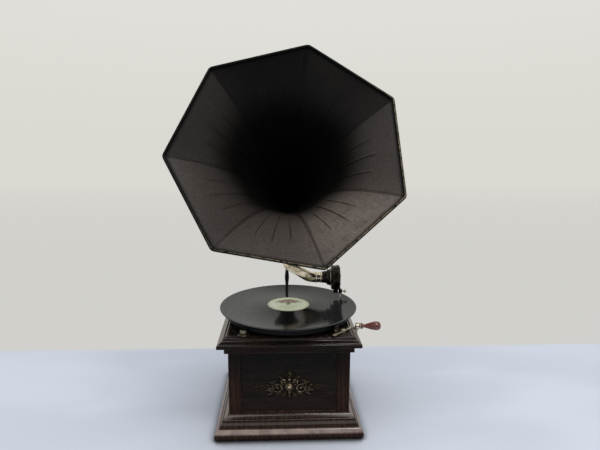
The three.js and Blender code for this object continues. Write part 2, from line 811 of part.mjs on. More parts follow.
function upperPlate() {
  const sheet = motorPlate(upperPlateZ, spindleRadius);
  const hangers = pillarPlaces().map(([x, y]) =>
    disc(hangerRadius, upperPlateZ, deckBottom).translate(x, y, 0));
  return join(sheet, ...hangers, ...governorLugs());
}

const lugThick = 4;
const lugHalf = 6;

function governorLugs() {
  return [governorLeft, governorRight - lugThick].map((x) => {
    const bore = rodX(pivotRadius + gap, -overrun, lugThick + overrun).translate(x, governorY, governorZ);
    const [front, back] = [governorY - lugHalf, governorY + lugHalf];
    const arm = block(x, x + lugThick, front, back, governorZ - lugHalf, upperPlateZ);
    return cut(arm, bore);
  });
}

function lowerPlate() {
  const sheet = motorPlate(lowerPlateZ, arborRadius);
  const pillars = pillarPlaces().map(([x, y]) =>
    disc(pillarRadius, lowerPlateZ, upperPlateZ).translate(x, y, 0));
  return join(sheet, ...pillars);
}

// Bearing that carries the winding shaft below the upper plate.
const bearingInset = 3;
const bearingThick = 8;
const bearingHalf = 9;

function windingBearing() {
  const start = plateSpan - bearingInset;
  const [front, back] = [crankY - bearingHalf, crankY + bearingHalf];
  const body = block(start, start + bearingThick, front, back, crankZ - bearingHalf, upperPlateZ);
  const bore = rodX(crankShaftRadius + runningGap, -overrun, bearingThick + overrun, roundSides)
    .translate(start, crankY, crankZ);
  return cut(body, bore);
}

function buildMotor(group) {
  add(group, 'motor_upper_plate', upperPlate(), steel);
  add(group, 'motor_lower_plate', lowerPlate(), steel);
  add(group, 'winding_bearing', windingBearing(), brass);
  add(group, 'spring_barrel', springBarrel(), steel);
  add(group, 'barrel_lid', barrelLid(), steel);
  add(group, 'mainspring', mainspring(), steel);
  add(group, 'winding_arbor', windingArbor(), steel);
  add(group, 'intermediate_gear', intermediateGear(), brass);
  add(group, 'governor_spindle', governorSpindle(), steel);
  add(group, 'governor_weights', governorWeights(), brass);
}

function buildTurntable(group) {
  const bore = spindleRadius + gap;
  add(group, 'turntable_spindle', spindle(), steel);
  add(group, 'platter', platter(), steel);
  const felt = washer(feltRadius, bore, platterTop, recordBottom, wideSides);
  const label = washer(labelRadius, bore, recordTop, recordTop + labelThick, roundSides);
  add(group, 'turntable_felt', felt, greenFelt);
  add(group, 'record', record(), shellac);
  add(group, 'record_label', label, paperGreen);
}

// Crank: shaft, flat arm and grip
const armWidthShare = 1.5;
const armTipShare = 1.15;
const gripPinRadius = 2.6;
const gripSides = 12;
const gripProfileShares = [
  [0.65, 0], [0.66, 0.08], [0.42, 0.14], [0.38, 0.2], [0.5, 0.3], [0.8, 0.5], [0.98, 0.68], [1, 0.78],
  [0.9, 0.9], [0.62, 0.97], [0.34, 1],
];

const pinReachShare = 0.8;
const ferruleRadius = 4.6;

function crankArm() {
  const wide = crankShaftRadius * armWidthShare;
  const slim = crankShaftRadius * armTipShare;
  const bar = new THREE.Shape();
  bar.absarc(0, 0, wide, quarterTurn, -quarterTurn + fullTurn);
  bar.absarc(crankThrow, 0, slim, -quarterTurn, quarterTurn);
  const settings = { depth: crankArmThick, bevelEnabled: false, curveSegments: smallSides };
  const arm = closed(new THREE.ExtrudeGeometry(bar, settings)
    .rotateX(quarterTurn)
    .rotateZ(-quarterTurn)
    .translate(crankArmX + crankArmThick, 0, 0));
  const middle = crankArmX + crankArmThick / 2;
  const shaft = rodX(crankShaftRadius, windingShaftEnd + 2 * gap, middle);
  const pinEnd = gripStart + gripLength * pinReachShare;
  const pin = rodX(gripPinRadius, middle, pinEnd).translate(0, -crankThrow, 0);
  const ferrule = rodX(ferruleRadius, middle, gripStart - gap).translate(0, -crankThrow, 0);
  return join(arm, shaft, pin, ferrule);
}

function crankGrip() {
  const bore = gripPinRadius + runningGap;
  const skin = scaled(gripProfileShares, gripRadius, gripLength);
  return turnedX([[bore, 0], ...skin, [bore, gripLength], [bore, 0]], gripSides)
    .translate(gripStart, 0, 0);
}

function buildCrank(root) {
  const crank = new THREE.Group();
  crank.position.set(0, crankY, crankZ);
  crank.rotation.x = -crankRise;
  add(crank, 'crank_arm', crankArm(), nickel);
  add(crank, 'crank_grip', crankGrip(), redwood, 0, -crankThrow, 0);
  root.add(crank);
  add(root, 'winding_shaft', windingShaft(), steel);
  add(root, 'crank_escutcheon', escutcheon(), nickel);
}

// Bracket: foot plate on the back panel, swept arm and bearing ring, one casting
const footHalf = 20;
const footThick = 6;
const footLow = 66;
const footHigh = 142;
const footShares = [[-1, 0.1], [-0.7, 0], [0.7, 0], [1, 0.1], [1, 0.9], [0.7, 1], [-0.7, 1], [-1, 0.9]];
const armStartZ = 118;
const armReach = 18;
const armBow = 9.6;
const armBowShare = 0.6;
const armSteps = 9;
const armHalfWidth = 5;
const armWidthShares = [
  [0, 1], [0.25, 0.72], [0.45, 0.52], [0.6, 0.6], [0.7, 0.97], [0.8, 0.6], [0.92, 0.68], [1, 1],
];
const armDepth = 8;
const armSectionShares = [
  [1, -0.6], [1, 0.6], [0.6, 1], [-0.6, 1], [-1, 0.6], [-1, -0.6], [-0.6, -1], [0.6, -1],
];
const ringWall = 5;
const bracketScrewRadius = 3;

// The value at a place in a list of [place, value] pairs.
function along(pairs, place) {
  const i = Math.max(1, pairs.findIndex(([p]) => p >= place));
  const [p0, v0] = pairs[i - 1];
  const [p1, v1] = pairs[i];
  return mix(v0, v1, (place - p0) / (p1 - p0));
}

function bracketArm() {
  const footFace = panelFace + gap + footThick;
  const ringMiddle = (ringBottom + ringTop) / 2;
  const ringBack = pivotY + ringOuter - ringWall;
  const reach = pivotY + armReach;
  const curve = new THREE.CubicBezierCurve3(
    vec(0, footFace - footThick / 2, armStartZ),
    vec(0, reach, armStartZ - armDepth),
    vec(0, reach + armBow, mix(armStartZ, ringMiddle, armBowShare)),
    vec(0, ringBack, ringMiddle),
  );
  const rings = Array.from({ length: armSteps + 1 }, (_, i) => {
    const share = i / armSteps;
    const at = curve.getPoint(share);
    const forward = curve.getTangent(share);
    const outward = right.clone().cross(forward);
    const half = armHalfWidth * along(armWidthShares, share);
    return armSectionShares.map(([across, deep]) => at.clone()
      .addScaledVector(right, across * half)
      .addScaledVector(outward, deep * armDepth));
  });
  return loft(rings);
}

const screwRowShares = [0.2, 0.8];
const screwSideShares = [-0.62, 0.62];

function bracketScrewPlaces() {
  return screwRowShares.flatMap((row) => screwSideShares.map((side) =>
    [side * footHalf, mix(footLow, footHigh, row)]));
}

function bracket() {
  const foot = plate(footShares.map(([x, z]) => [x * footHalf, mix(footLow, footHigh, z)]), 0, footThick,
    bracketScrewPlaces().map(([x, z]) => [x, z, bracketScrewRadius + gap]))
    .rotateX(quarterTurn)
    .translate(0, panelFace + gap + footThick, 0);
  const bore = elbowRadius + runningGap;
  const floor = ringBottom + ringFloor;
  const ring = turned([
    [0, ringBottom], [ringOuter - ringWall / 2, ringBottom], [ringOuter, ringBottom + ringWall / 2],
    [ringOuter, ringTop - ringWall / 2], [ringOuter - ringWall / 2, ringTop], [0, ringTop],
  ], roundSides).translate(0, pivotY, 0);
  const upperBore = disc(bore, floor, ringTop + overrun, roundSides).translate(0, pivotY, 0);
  const lowerBore = disc(spigotRadius + runningGap, ringBottom - overrun, ringTop, roundSides)
    .translate(0, pivotY, 0);
  const screwBore = rodX(clampStemRadius + gap, 0, 2 * ringOuter).translate(0, pivotY, clampZ);
  return cut(join(foot, bracketArm(), ring), upperBore, lowerBore, screwBore);
}

// Thumb screw with two wings that holds the elbow in the ring.
const clampStemRadius = 2.4;
const clampZ = 261;
const clampClear = 2.6;
const clampHeadOut = 2;
const clampNeckRadius = 4.3;
const clampNeckBack = 1;
const clampNeckFront = 3;
const wingHalf = 9;
const wingThick = 3;
const wingHeight = 8;
const wingShares = [[-0.35, 0], [-1, 0.5], [-0.95, 1], [-0.6, 0.95], [-0.2, 0.45], [0.2, 0.45], [0.6, 0.95],
  [0.95, 1], [1, 0.5], [0.35, 0]];

function clampScrew() {
  const head = ringOuter + clampHeadOut;
  const stem = rodX(clampStemRadius, elbowRadius + clampClear, head);
  const neck = rodX(clampNeckRadius, head - clampNeckBack, head + clampNeckFront);
  const wing = plate(wingShares.map(([y, x]) => [head + x * wingHeight, y * wingHalf]),
    -wingThick / 2, wingThick / 2);
  return join(stem, neck, wing);
}

// Round-headed screw with a shank and a slot.
const screwHeadShare = 1.9;
const screwDomeShares = [[1.52, 0.8], [0.76, 1.04], [0, 1.12]];
const slotFloorShare = 0.56;
const slotHalf = 0.6;

function bracketScrew() {
  const head = bracketScrewRadius * screwHeadShare;
  const shank = footThick + gap;
  const dome = scaled(screwDomeShares, bracketScrewRadius, bracketScrewRadius);
  const body = turned([
    [0, -shank], [bracketScrewRadius, -shank], [bracketScrewRadius, gap], [head, gap], ...dome,
  ], smallSides);
  const slot = block(-head, head, -slotHalf, slotHalf, bracketScrewRadius * slotFloorShare, overrun);
  return cut(body, slot);
}

function buildBracket(root) {
  add(root, 'horn_bracket', bracket(), castIron);
  bracketScrewPlaces().forEach(([x, z], i) => {
    const y = panelFace + gap + footThick;
    const screw = add(root, `bracket_screw_${i + 1}`, bracketScrew(), steel, x, y, z);
    screw.rotation.x = -quarterTurn;
  });
  add(root, 'horn_clamp_screw', clampScrew(), nickel, 0, pivotY, clampZ);
}

// Tone arm: spigot and flange in the ring, bend, slanting run, bend to the soundbox
const tubeSides = 12;
const armBendSteps = 3;

function toneArm() {
  const pivot = vec(0, pivotY, 0);
  const flangeLow = ringBottom + ringFloor + gap;
  const corners = [
    vec(0, pivotY, ringBottom), vec(0, pivotY, armAxisZ), vec(armBendX, armBendY, armAxisZ),
    vec(armEndX, armBendY, armAxisZ),
  ];
  const run = route(corners, [tubeDrop, armBendRadius], armBendSteps).slice(1);
  const head = [
    [flangeLow + flangeThick, flangeRadius], [flangeLow, flangeRadius], [flangeLow, spigotRadius],
    [ringBottom + gap, spigotRadius],
  ].map(([z, radius]) => ({ at: pivot.clone().setZ(z), along: up.clone().negate(), radius }));
  const span = run.length - armBendSteps;
  const neck = run.map((station, i) => {
    const radius = mix(tubeRadius, tubeEndRadius, Math.min(1, i / span));
    return { ...station, radius };
  });
  const stations = [...head, ...neck];
  const outer = stations.map(({ radius }) => radius);
  const inner = outer.map((radius, i) => (i < head.length ? tubeRadius : radius) - tubeWall);
  return tube(stations, outer, inner, tubeSides);
}

// Dark sleeve that joins the arm's end to the soundbox.
const sleeveStart = 65;
const sleeveRadius = 11;
const sleeveShares = [
  [0.9, 0], [1, 0.06], [1, 0.3], [0.94, 0.34], [0.94, 0.62], [1, 0.66], [1, 0.94], [0.9, 1],
];

function armSleeve() {
  const bore = tubeEndRadius + gap;
  const length = soundboxStart - gap - sleeveStart;
  const skin = scaled(sleeveShares, sleeveRadius, length);
  return turnedX([[bore, 0], ...skin, [bore, length], [bore, 0]], roundSides)
    .translate(sleeveStart, armBendY, armAxisZ);
}

function buildToneArm(root) {
  add(root, 'tone_arm', toneArm(), nickel);
  add(root, 'tone_arm_sleeve', armSleeve(), castIron);
}

// Soundbox: housing, front ring, mica diaphragm, stylus bar and needle
const soundboxWall = 2.4;
const soundboxBoreShare = 0.3;
const housingShares = [
  [0.42, 0], [0.42, 0.08], [0.96, 0.1], [1, 0.16], [1, 0.24], [0.95, 0.28], [0.95, 0.72],
];
const housingFloorShare = 0.28;
const diaphragmShare = 0.9;
const diaphragmThick = 0.5;
const diaphragmStart = soundboxDepth * housingShares.at(-1)[1];
const ringInnerShare = 0.8;
const ringShares = [[0.98, 0.9], [0.93, 1], [0.8, 1]];

function soundboxHousing() {
  const skin = scaled(housingShares, soundboxRadius, soundboxDepth);
  const bore = soundboxRadius * soundboxBoreShare;
  const inside = skin.at(-1)[0] - soundboxWall;
  const floor = soundboxDepth * housingFloorShare;
  return turnedX([
    [bore, 0], ...skin, [inside, diaphragmStart], [inside, floor], [bore, floor], [bore, 0],
  ], roundSides);
}

function soundboxRing() {
  const start = diaphragmStart + diaphragmThick;
  const inside = soundboxRadius * ringInnerShare;
  const skin = scaled(ringShares, soundboxRadius, soundboxDepth);
  return turnedX([[inside, start], [skin[0][0], start], ...skin, [inside, start]], roundSides);
}

const diaphragm = () =>
  rodX(soundboxRadius * diaphragmShare, diaphragmStart, diaphragmStart + diaphragmThick, roundSides);

const chuckHalf = 3;
const chuckHigh = 8;
const chuckBack = 0.6;
const chuckFront = 5.4;
const barThick = 1.4;
const barHalf = 1.8;
const barTopShare = 0.08;
const pinDropShare = 0.1;
const needleRadius = 0.8;
const needleInset = 2.4;
const needleShankShare = 0.6;
const needlePointShare = 0.2;
const chuckZ = -soundboxRadius - chuckHigh / 2;

// The stylus bar runs from the diaphragm's middle over the ring down to the needle chuck.
function stylusBar() {
  const face = soundboxDepth + gap;
  const bar = block(face, face + barThick, -barHalf, barHalf, chuckZ, -soundboxRadius * barTopShare);
  const pin = rodX(barHalf, diaphragmStart + diaphragmThick + gap, face + barThick, pinSides)
    .translate(0, 0, -soundboxRadius * pinDropShare);
  const chuck = block(face - chuckBack, face + chuckFront, -chuckHalf, chuckHalf, chuckZ - chuckHigh / 2,
    chuckZ + chuckHigh / 2);
  return join(bar, pin, chuck);
}

function needleGeometry() {
  const top = vec(soundboxDepth + gap + needleInset, 0, -soundboxRadius - chuckHigh - needleRadius - gap);
  const tip = vec(needleTipX - soundboxStart, needleTipY - armBendY, needleTipZ - armAxisZ);
  const line = tip.clone().sub(top);
  const length = line.length();
  const rod = turned([
    [0, 0], [needleRadius, 0], [needleRadius, length * needleShankShare],
    [needleRadius * needlePointShare, length], [0, length],
  ], pinSides);
  rod.applyQuaternion(new THREE.Quaternion().setFromUnitVectors(up, line.normalize()));
  return rod.translate(top.x, top.y, top.z);
}

const needleScrewLength = 8;
const needleScrewShares = [[0.53, 0], [0.53, 0.35], [0.9, 0.4], [1, 0.55], [1, 0.9], [0.8, 1]];

function needleScrew() {
  const skin = scaled(needleScrewShares, chuckHalf, needleScrewLength);
  return turnedX([[0, 0], ...skin, [0, needleScrewLength]], smallSides)
    .translate(soundboxDepth + 2 * gap + chuckFront, 0, chuckZ);
}

function buildSoundbox(root) {
  const box = new THREE.Group();
  box.position.set(soundboxStart, armBendY, armAxisZ);
  add(box, 'soundbox_housing', soundboxHousing(), nickel);
  add(box, 'soundbox_ring', soundboxRing(), castIron);
  add(box, 'diaphragm', diaphragm(), mica);
  add(box, 'stylus_bar', stylusBar(), steel);
  add(box, 'needle', needleGeometry(), steel);
  add(box, 'needle_screw', needleScrew(), nickel);
  root.add(box);
}

// Horn: seven petals of sheet with a wired rim, a cast elbow and the collar between them
const petalShares = [0, 0.09, 0.34, 0.66, 0.91, 1];
const hornStationShares = [1, 0.76, 0.56, 0.4, 0.27, 0.17, 0.09, 0.02];
const slopeStepShare = 0.001;
const wirePoints = 5;
const wireStart = THREE.MathUtils.degToRad(170);
const wireEnd = THREE.MathUtils.degToRad(-100);

const facing = vec(0, -Math.cos(hornRise), Math.sin(hornRise));
const lean = vec(0, Math.sin(hornRise), Math.cos(hornRise));
const throatPlace = vec(0, 0, elbowBendZ)
  .addScaledVector(vec(0, -1, 0), elbowBendRadius * (1 - Math.sin(hornRise)))
  .addScaledVector(up, elbowBendRadius * Math.cos(hornRise))
  .addScaledVector(facing, throatStub + gap);
const mouthPlace = throatPlace.clone().addScaledVector(facing, hornLength);

const hornRadius = (back) => {
  const flare = mouthRadius - throatRadius - coneSlope * hornLength;
  return throatRadius + coneSlope * (hornLength - back) + flare * Math.exp(-back / flareDecay);
};

// Distance of the petal's edge from the axis, as a share of the corner's.
function petalReach(share, back) {
  const span = fullTurn / petalCount;
  const chord = Math.cos(span / 2) / Math.cos((share - 1 / 2) * span);
  return 1 - (1 - chord) * Math.exp(-Math.max(0, back) / petalDecay);
}

// The sheet's outer face to the rim, round the wire and back along the inner face: [back, radius] pairs.
function petalProfile() {
  const meridian = hornStationShares.map((share) => share * hornLength);
  const outside = meridian.map((back) => [back, hornRadius(back)]);
  const step = hornLength * slopeStepShare;
  const inside = meridian.map((back) => {
    const slope = (hornRadius(back - step) - hornRadius(back + step)) / (2 * step);
    const length = Math.hypot(1, slope);
    return [back - (hornSheet * slope) / length, hornRadius(back) - hornSheet / length];
  }).reverse();
  const wire = Array.from({ length: wirePoints }, (_, i) => {
    const angle = mix(wireStart, wireEnd, i / (wirePoints - 1));
    return [-rimWireRadius * Math.cos(angle), mouthRadius - rimWireRadius * (1 - Math.sin(angle))];
  });
  return [...outside, ...wire, ...inside];
}

// The profile carried from one corner of the mouth to the next, less half a gap at each.
function hornPetal(number) {
  const profile = petalProfile();
  const rings = petalShares.map((share, i) => profile.map(([back, radius]) => {
    const reach = radius * petalReach(share, back);
    const trim = Math.asin(gap / 2 / reach) * (i === 0 ? 1 : i === petalShares.length - 1 ? -1 : 0);
    const angle = hornCornerTurn + ((number + share) * fullTurn) / petalCount + trim;
    return mouthPlace.clone()
      .addScaledVector(facing, -back)
      .addScaledVector(right, reach * Math.sin(angle))
      .addScaledVector(lean, reach * Math.cos(angle));
  }));
  return loft(rings);
}

// Elbow: from the ring up, over a bend and into the throat.
const elbowSides = 14;
const elbowWall = 1.6;
const elbowSteps = 4;
const elbowFlangeThick = 3.2;

function hornElbow() {
  const bottom = ringBottom + ringFloor + flangeThick + 2 * gap;
  const flangeLow = ringTop + gap;
  const flangeHigh = flangeLow + elbowFlangeThick;
  const flangeOuter = ringOuter - ringWall / 2;
  const bend = elbowBendRadius * Math.tan((quarterTurn - hornRise) / 2);
  const corner = vec(0, 0, elbowBendZ + bend);
  const end = throatPlace.clone().addScaledVector(facing, -gap);
  const stations = route([vec(0, 0, flangeHigh), corner, end], [elbowBendRadius], elbowSteps);
  const lower = [[bottom, elbowRadius], [flangeLow, elbowRadius], [flangeLow, flangeOuter],
    [flangeHigh, flangeOuter]].map(([z, radius]) => ({ at: vec(0, 0, z), along: up, radius }));
  const upper = stations.map((station, i) => {
    const radius = mix(elbowRadius, throatRadius, i / (stations.length - 1));
    return { ...station, radius };
  });
  const all = [...lower, ...upper];
  const outer = all.map(({ radius }) => radius);
  const inner = all.map(({ radius }) => Math.min(radius, throatRadius) - elbowWall);
  return tube(all, outer, inner, elbowSides);
}

// Collar that clasps the petals' throat and the elbow's end.
const collarHalf = 7;
const collarBackShare = 0.4;
const collarWall = 2;

function throatCollar() {
  const inner = (hornRadius(hornLength - collarHalf) + gap) / Math.cos(Math.PI / elbowSides);
  const back = -collarHalf * collarBackShare;
  const outer = inner + collarWall;
  const rings = [[back, inner], [collarHalf, inner], [collarHalf, outer], [back, outer]];
  const stations = rings.map(([ahead]) => {
    const at = throatPlace.clone().addScaledVector(facing, ahead);
    return { at, along: facing };
  });
  return loft(ringsAlong(stations, rings.map(([, radius]) => radius), elbowSides), true);
}

function buildHorn(root) {
  const horn = new THREE.Group();
  horn.position.set(0, pivotY, 0);
  horn.rotation.z = hornTurn;
  for (let i = 0; i < petalCount; i += 1) {
    add(horn, `horn_petal_${i + 1}`, hornPetal(i), hornLacquer);
  }
  add(horn, 'horn_elbow', hornElbow(), hornLacquer);
  add(horn, 'horn_collar', throatCollar(), hornLacquer);
  root.add(horn);
}

// Deck fittings: the brake lever with its pad and post, and the speed screw
const brakeInsetX = 12;
const brakeInsetY = 8;
const brakeX = deckHalf - brakeInsetX;
const brakeY = brakeInsetY - deckHalf;
const brakePostRadius = 2.6;
const brakeFlangeRadius = 4.4;
const brakeCapRadius = 3.6;
const brakeCapThick = 1.8;
const brakeLift = 2;
const brakeLow = deckTop + brakeLift;
const brakeThick = 2.6;
const brakeHubRadius = 4.9;
const handleTipRadius = 3.5;
const tailTipRadius = 2.5;
const padArmRadius = 3.2;
const padRadius = 4;
const padHigh = 9;
const brakeHandleReach = 22;
const brakeTailReach = 21;
const brakeHandleAngle = THREE.MathUtils.degToRad(226);
const brakeTailAngle = THREE.MathUtils.degToRad(46);
const padLean = THREE.MathUtils.degToRad(40);

// The pad touches the platter's rim from one side of the line to the spindle.
function padPlace() {
  const span = Math.hypot(brakeX, brakeY);
  const reach = platterRadius + padRadius + gap;
  const inward = Math.atan2(-brakeY, -brakeX);
  const along = span * Math.cos(padLean);
  const arm = along - Math.sqrt(along * along - span * span + reach * reach);
  return [arm * Math.cos(inward + padLean), arm * Math.sin(inward + padLean)];
}

// Flat strip from the lever's hub to a rounded tip at an angle and a reach.
function leverStrip(angle, reach, tipRadius) {
  const shape = new THREE.Shape();
  shape.absarc(0, 0, brakeHubRadius, angle + quarterTurn, angle - quarterTurn + fullTurn);
  const [tipX, tipY] = [reach * Math.cos(angle), reach * Math.sin(angle)];
  shape.absarc(tipX, tipY, tipRadius, angle - quarterTurn, angle + quarterTurn);
  const settings = { depth: brakeThick, bevelEnabled: false, curveSegments: pinSides };
  return closed(new THREE.ExtrudeGeometry(shape, settings));
}

function brakeLever() {
  const [padX, padY] = padPlace();
  return cut(
    join(
      leverStrip(brakeHandleAngle, brakeHandleReach, handleTipRadius),
      leverStrip(brakeTailAngle, brakeTailReach, tailTipRadius),
      leverStrip(Math.atan2(padY, padX), Math.hypot(padX, padY), padArmRadius),
    ),
    disc(brakePostRadius + gap, -overrun, brakeThick + overrun),
  );
}

function brakePost() {
  const high = brakeLow + brakeThick + gap;
  return turned([
    [0, deckTop], [brakeFlangeRadius, deckTop], [brakeFlangeRadius, brakeLow - gap],
    [brakePostRadius, brakeLow - gap], [brakePostRadius, high], [brakeFlangeRadius, high],
    [brakeCapRadius, high + brakeCapThick],
    [0, high + brakeCapThick + gap],
  ], smallSides);
}

const speedInsetX = 24;
const speedInsetY = 4;
const speedX = speedInsetX - deckHalf;
const speedY = speedInsetY - deckHalf;
const speedStemRadius = 2;
const speedKnobRadius = 5.4;
const speedKnobHigh = 7;
const speedFlutes = 12;
const speedPlateRadius = 9;
const speedPlateThick = 1;
const fluteDepthShare = 0.12;

function speedKnob() {
  const low = deckTop + speedPlateThick + gap;
  const points = Array.from({ length: speedFlutes * 2 }, (_, i) => {
    const radius = speedKnobRadius * (i % 2 ? 1 - fluteDepthShare : 1);
    const angle = (Math.PI * i) / speedFlutes;
    return [radius * Math.cos(angle), radius * Math.sin(angle)];
  });
  const head = plate(points, low, low + speedKnobHigh);
  const stem = disc(speedStemRadius, deckBottom + gap, low + speedKnobHigh / 2);
  return join(head, stem);
}

function buildDeckFittings(root) {
  const [padX, padY] = padPlace();
  add(root, 'brake_lever', brakeLever(), nickel, brakeX, brakeY, brakeLow);
  add(root, 'brake_pad', disc(padRadius, 0, padHigh), leather, brakeX + padX, brakeY + padY,
    brakeLow + brakeThick);
  add(root, 'brake_post', brakePost(), nickel, brakeX, brakeY, 0);
  add(root, 'speed_knob', speedKnob(), nickel, speedX, speedY, 0);
  const bore = speedStemRadius + gap;
  const speedPlate = washer(speedPlateRadius, bore, deckTop, deckTop + speedPlateThick, roundSides);
  add(root, 'speed_plate', speedPlate, nickel, speedX, speedY, 0);
}

const gramophone = new THREE.Group();
buildCase(gramophone);
buildMotor(gramophone);
buildTurntable(gramophone);
buildCrank(gramophone);
buildBracket(gramophone);
buildToneArm(gramophone);
buildSoundbox(gramophone);
buildHorn(gramophone);
buildDeckFittings(gramophone);

export default gramophone;
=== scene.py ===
import json
import math

import bpy
from mathutils import Matrix, Vector

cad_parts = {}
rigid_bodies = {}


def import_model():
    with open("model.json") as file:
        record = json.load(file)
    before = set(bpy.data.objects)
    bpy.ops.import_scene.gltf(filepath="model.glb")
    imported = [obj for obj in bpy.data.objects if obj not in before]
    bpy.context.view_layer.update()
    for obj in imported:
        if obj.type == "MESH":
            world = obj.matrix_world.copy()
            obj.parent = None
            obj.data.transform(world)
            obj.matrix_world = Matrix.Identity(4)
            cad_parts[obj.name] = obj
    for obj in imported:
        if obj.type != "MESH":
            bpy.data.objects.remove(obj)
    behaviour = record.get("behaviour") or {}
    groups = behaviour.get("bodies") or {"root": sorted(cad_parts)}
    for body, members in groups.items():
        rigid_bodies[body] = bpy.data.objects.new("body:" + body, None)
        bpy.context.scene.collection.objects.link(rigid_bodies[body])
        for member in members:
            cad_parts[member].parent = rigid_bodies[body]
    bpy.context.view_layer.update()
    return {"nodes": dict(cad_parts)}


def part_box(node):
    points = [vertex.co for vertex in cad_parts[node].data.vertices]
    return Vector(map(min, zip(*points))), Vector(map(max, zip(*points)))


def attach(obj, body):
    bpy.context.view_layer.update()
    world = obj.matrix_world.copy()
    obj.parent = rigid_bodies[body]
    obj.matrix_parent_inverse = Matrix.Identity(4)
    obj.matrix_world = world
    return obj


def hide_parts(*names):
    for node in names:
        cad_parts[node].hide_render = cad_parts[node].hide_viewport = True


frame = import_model()

quarter = math.pi / 2
full_turn = 2 * math.pi

# Camera: its place, its turn in radians and its lens
camera_place = (-17.99, -803.87, 471.67)
camera_yaw, camera_pitch, camera_roll = 0.0475, 0.1593, 0.0084
camera_lens = 27.147

# Table cloth: its far edge, in metres
cloth_end = 0.236

# Case
body_half = 101.4
post_width = 21
panel_face = 97.4
mount_face = panel_face + 0.3
inner_half = 88.4
base_height = 38
cornice_bottom = 152
deck_top = 176
deck_bottom = 166
deck_half = 100
rail_height = 8
ornament_back = 98.6

# Turntable
platter_bottom = 184.2
felt_bottom = 190.42
record_bottom = 192.2
label_bottom = 194.28
plate_bore = 3.9

# Horn
pivot_y = 140
horn_turn = math.radians(-0.7)
horn_rise = math.radians(24.2)
corner_turn = math.radians(9.8)
elbow_bend_z = 334.2
elbow_bend_radius = 36.4
mouth_radius = 188.06
horn_length = 255
throat_radius = 20.5
throat_least = 18.4
cone_slope = 0.29
flare_decay = 51
petal_decay = 95
petal_count = 7
petal_span = full_turn / petal_count
sheet_thick = 0.9
rim_radius = 2.3
corner_softness = 130

# Bracket, tone arm and soundbox
bracket_foot_z = 104
foot_thick = 6
clamp_z = 261
arm_y = 40
arm_axis_z = 234
soundbox_at = (82, arm_y, arm_axis_z)
chuck_z = 206

# Crank
crank_y = 6.675
crank_z = 117
crank_throw = 67.25
crank_rise = math.radians(46.8)
arm_x = 119.5
grip_start = 128.5

# Deck fittings
speed_spot = (-76, -96, 0)
brake_spot = (88, -92, 0)


def mm(value):
    return value / 1000


def place_of(*values):
    return Vector([mm(value) for value in values])


# ---------------------------------------------------------------- camera, lamps and floor

def make_camera():
    bpy.ops.object.camera_add()
    camera = bpy.context.object
    camera.name = "camera"
    level = Vector((math.cos(camera_yaw), -math.sin(camera_yaw), 0))
    ahead = Vector((math.sin(camera_yaw) * math.cos(camera_pitch), math.cos(camera_yaw) * math.cos(camera_pitch),
                    -math.sin(camera_pitch)))
    above = level.cross(ahead)
    side = level * math.cos(camera_roll) + above * math.sin(camera_roll)
    top = above * math.cos(camera_roll) - level * math.sin(camera_roll)
    turn = Matrix((side, top, -ahead)).transposed().to_4x4()
    camera.matrix_world = Matrix.Translation(place_of(*camera_place)) @ turn
    camera.data.sensor_width = 36
    camera.data.lens = camera_lens
    bpy.context.scene.camera = camera


def soft_lamp(name, place, target, width, height, power, colour):
    bpy.ops.object.light_add(type="AREA", location=place)
    lamp = bpy.context.object
    lamp.name = name
    lamp.data.shape = "RECTANGLE"
    lamp.data.size = width
    lamp.data.size_y = height
    lamp.data.energy = power
    lamp.data.color = colour
    lamp.rotation_euler = (Vector(target) - Vector(place)).to_track_quat("-Z", "Y").to_euler()


def make_lamps():
    soft_lamp("ceiling lamp", (0.1, -0.5, 2.0), (0, 0, 0.2), 1.5, 0.7, 11, (1, 0.985, 0.96))
    soft_lamp("right lamp", (0.42, -0.8, 1.8), (0, 0, 0.1), 0.42, 0.2, 5, (1, 0.99, 0.96))
    soft_lamp("left lamp", (-0.75, -0.6, 1.8), (0, 0, 0.1), 0.2, 0.14, 1.6, (0.95, 0.97, 1))


def shade(red, green, blue):
    """A colour as read off the picture, 0 to 255."""
    def plain(value):
        share = value / 255
        return share / 12.92 if share <= 0.04045 else ((share + 0.055) / 1.055) ** 2.4
    return (plain(red), plain(green), plain(blue), 1)


wall_colour = shade(219, 217, 210)


class Strand:
    """What runs out of a node; nodes make sums and products of strands, and [name] is the node's other output."""

    def __init__(self, socket):
        self.socket = socket
        self.tree = socket.id_data

    def __getitem__(self, name):
        return Strand(self.socket.node.outputs[name])

    def __add__(self, other):
        return maths("ADD", self, other)

    def __sub__(self, other):
        return maths("SUBTRACT", self, other)

    def __rsub__(self, other):
        return maths("SUBTRACT", other, self)

    def __mul__(self, other):
        return maths("MULTIPLY", self, other)

    def __abs__(self):
        return maths("ABSOLUTE", self)


def feed(node, inputs):
    """Puts values or strands on a node's inputs."""
    for name, value in inputs.items():
        if isinstance(value, Strand):
            value.tree.links.new(value.socket, node.inputs[name])
        else:
            node.inputs[name].default_value = value


def put(tree, kind, inputs=None, output=0, **settings):
    """One output of a new node with these settings and inputs."""
    node = tree.nodes.new(kind)
    for name, value in settings.items():
        setattr(node, name, value)
    feed(node, inputs or {})
    return Strand(node.outputs[output])


def maths(operation, *values):
    tree = next(value.tree for value in values if isinstance(value, Strand))
    return put(tree, "ShaderNodeMath", dict(enumerate(values)), operation=operation)


def limited(strand):
    """Holds a sum or product between 0 and 1."""
    strand.socket.node.use_clamp = True
    return strand


def larger(first, second):
    return maths("MAXIMUM", first, second)


def blend(share, first, second):
    """From one colour to the other by a share."""
    return put(share.tree, "ShaderNodeMix", {0: share, 6: first, 7: second}, 2, data_type="RGBA")


def over(colour, share, *picture_colour):
    """Lays a colour as read off the picture over another, by a share."""
    return blend(share, colour, shade(*picture_colour))


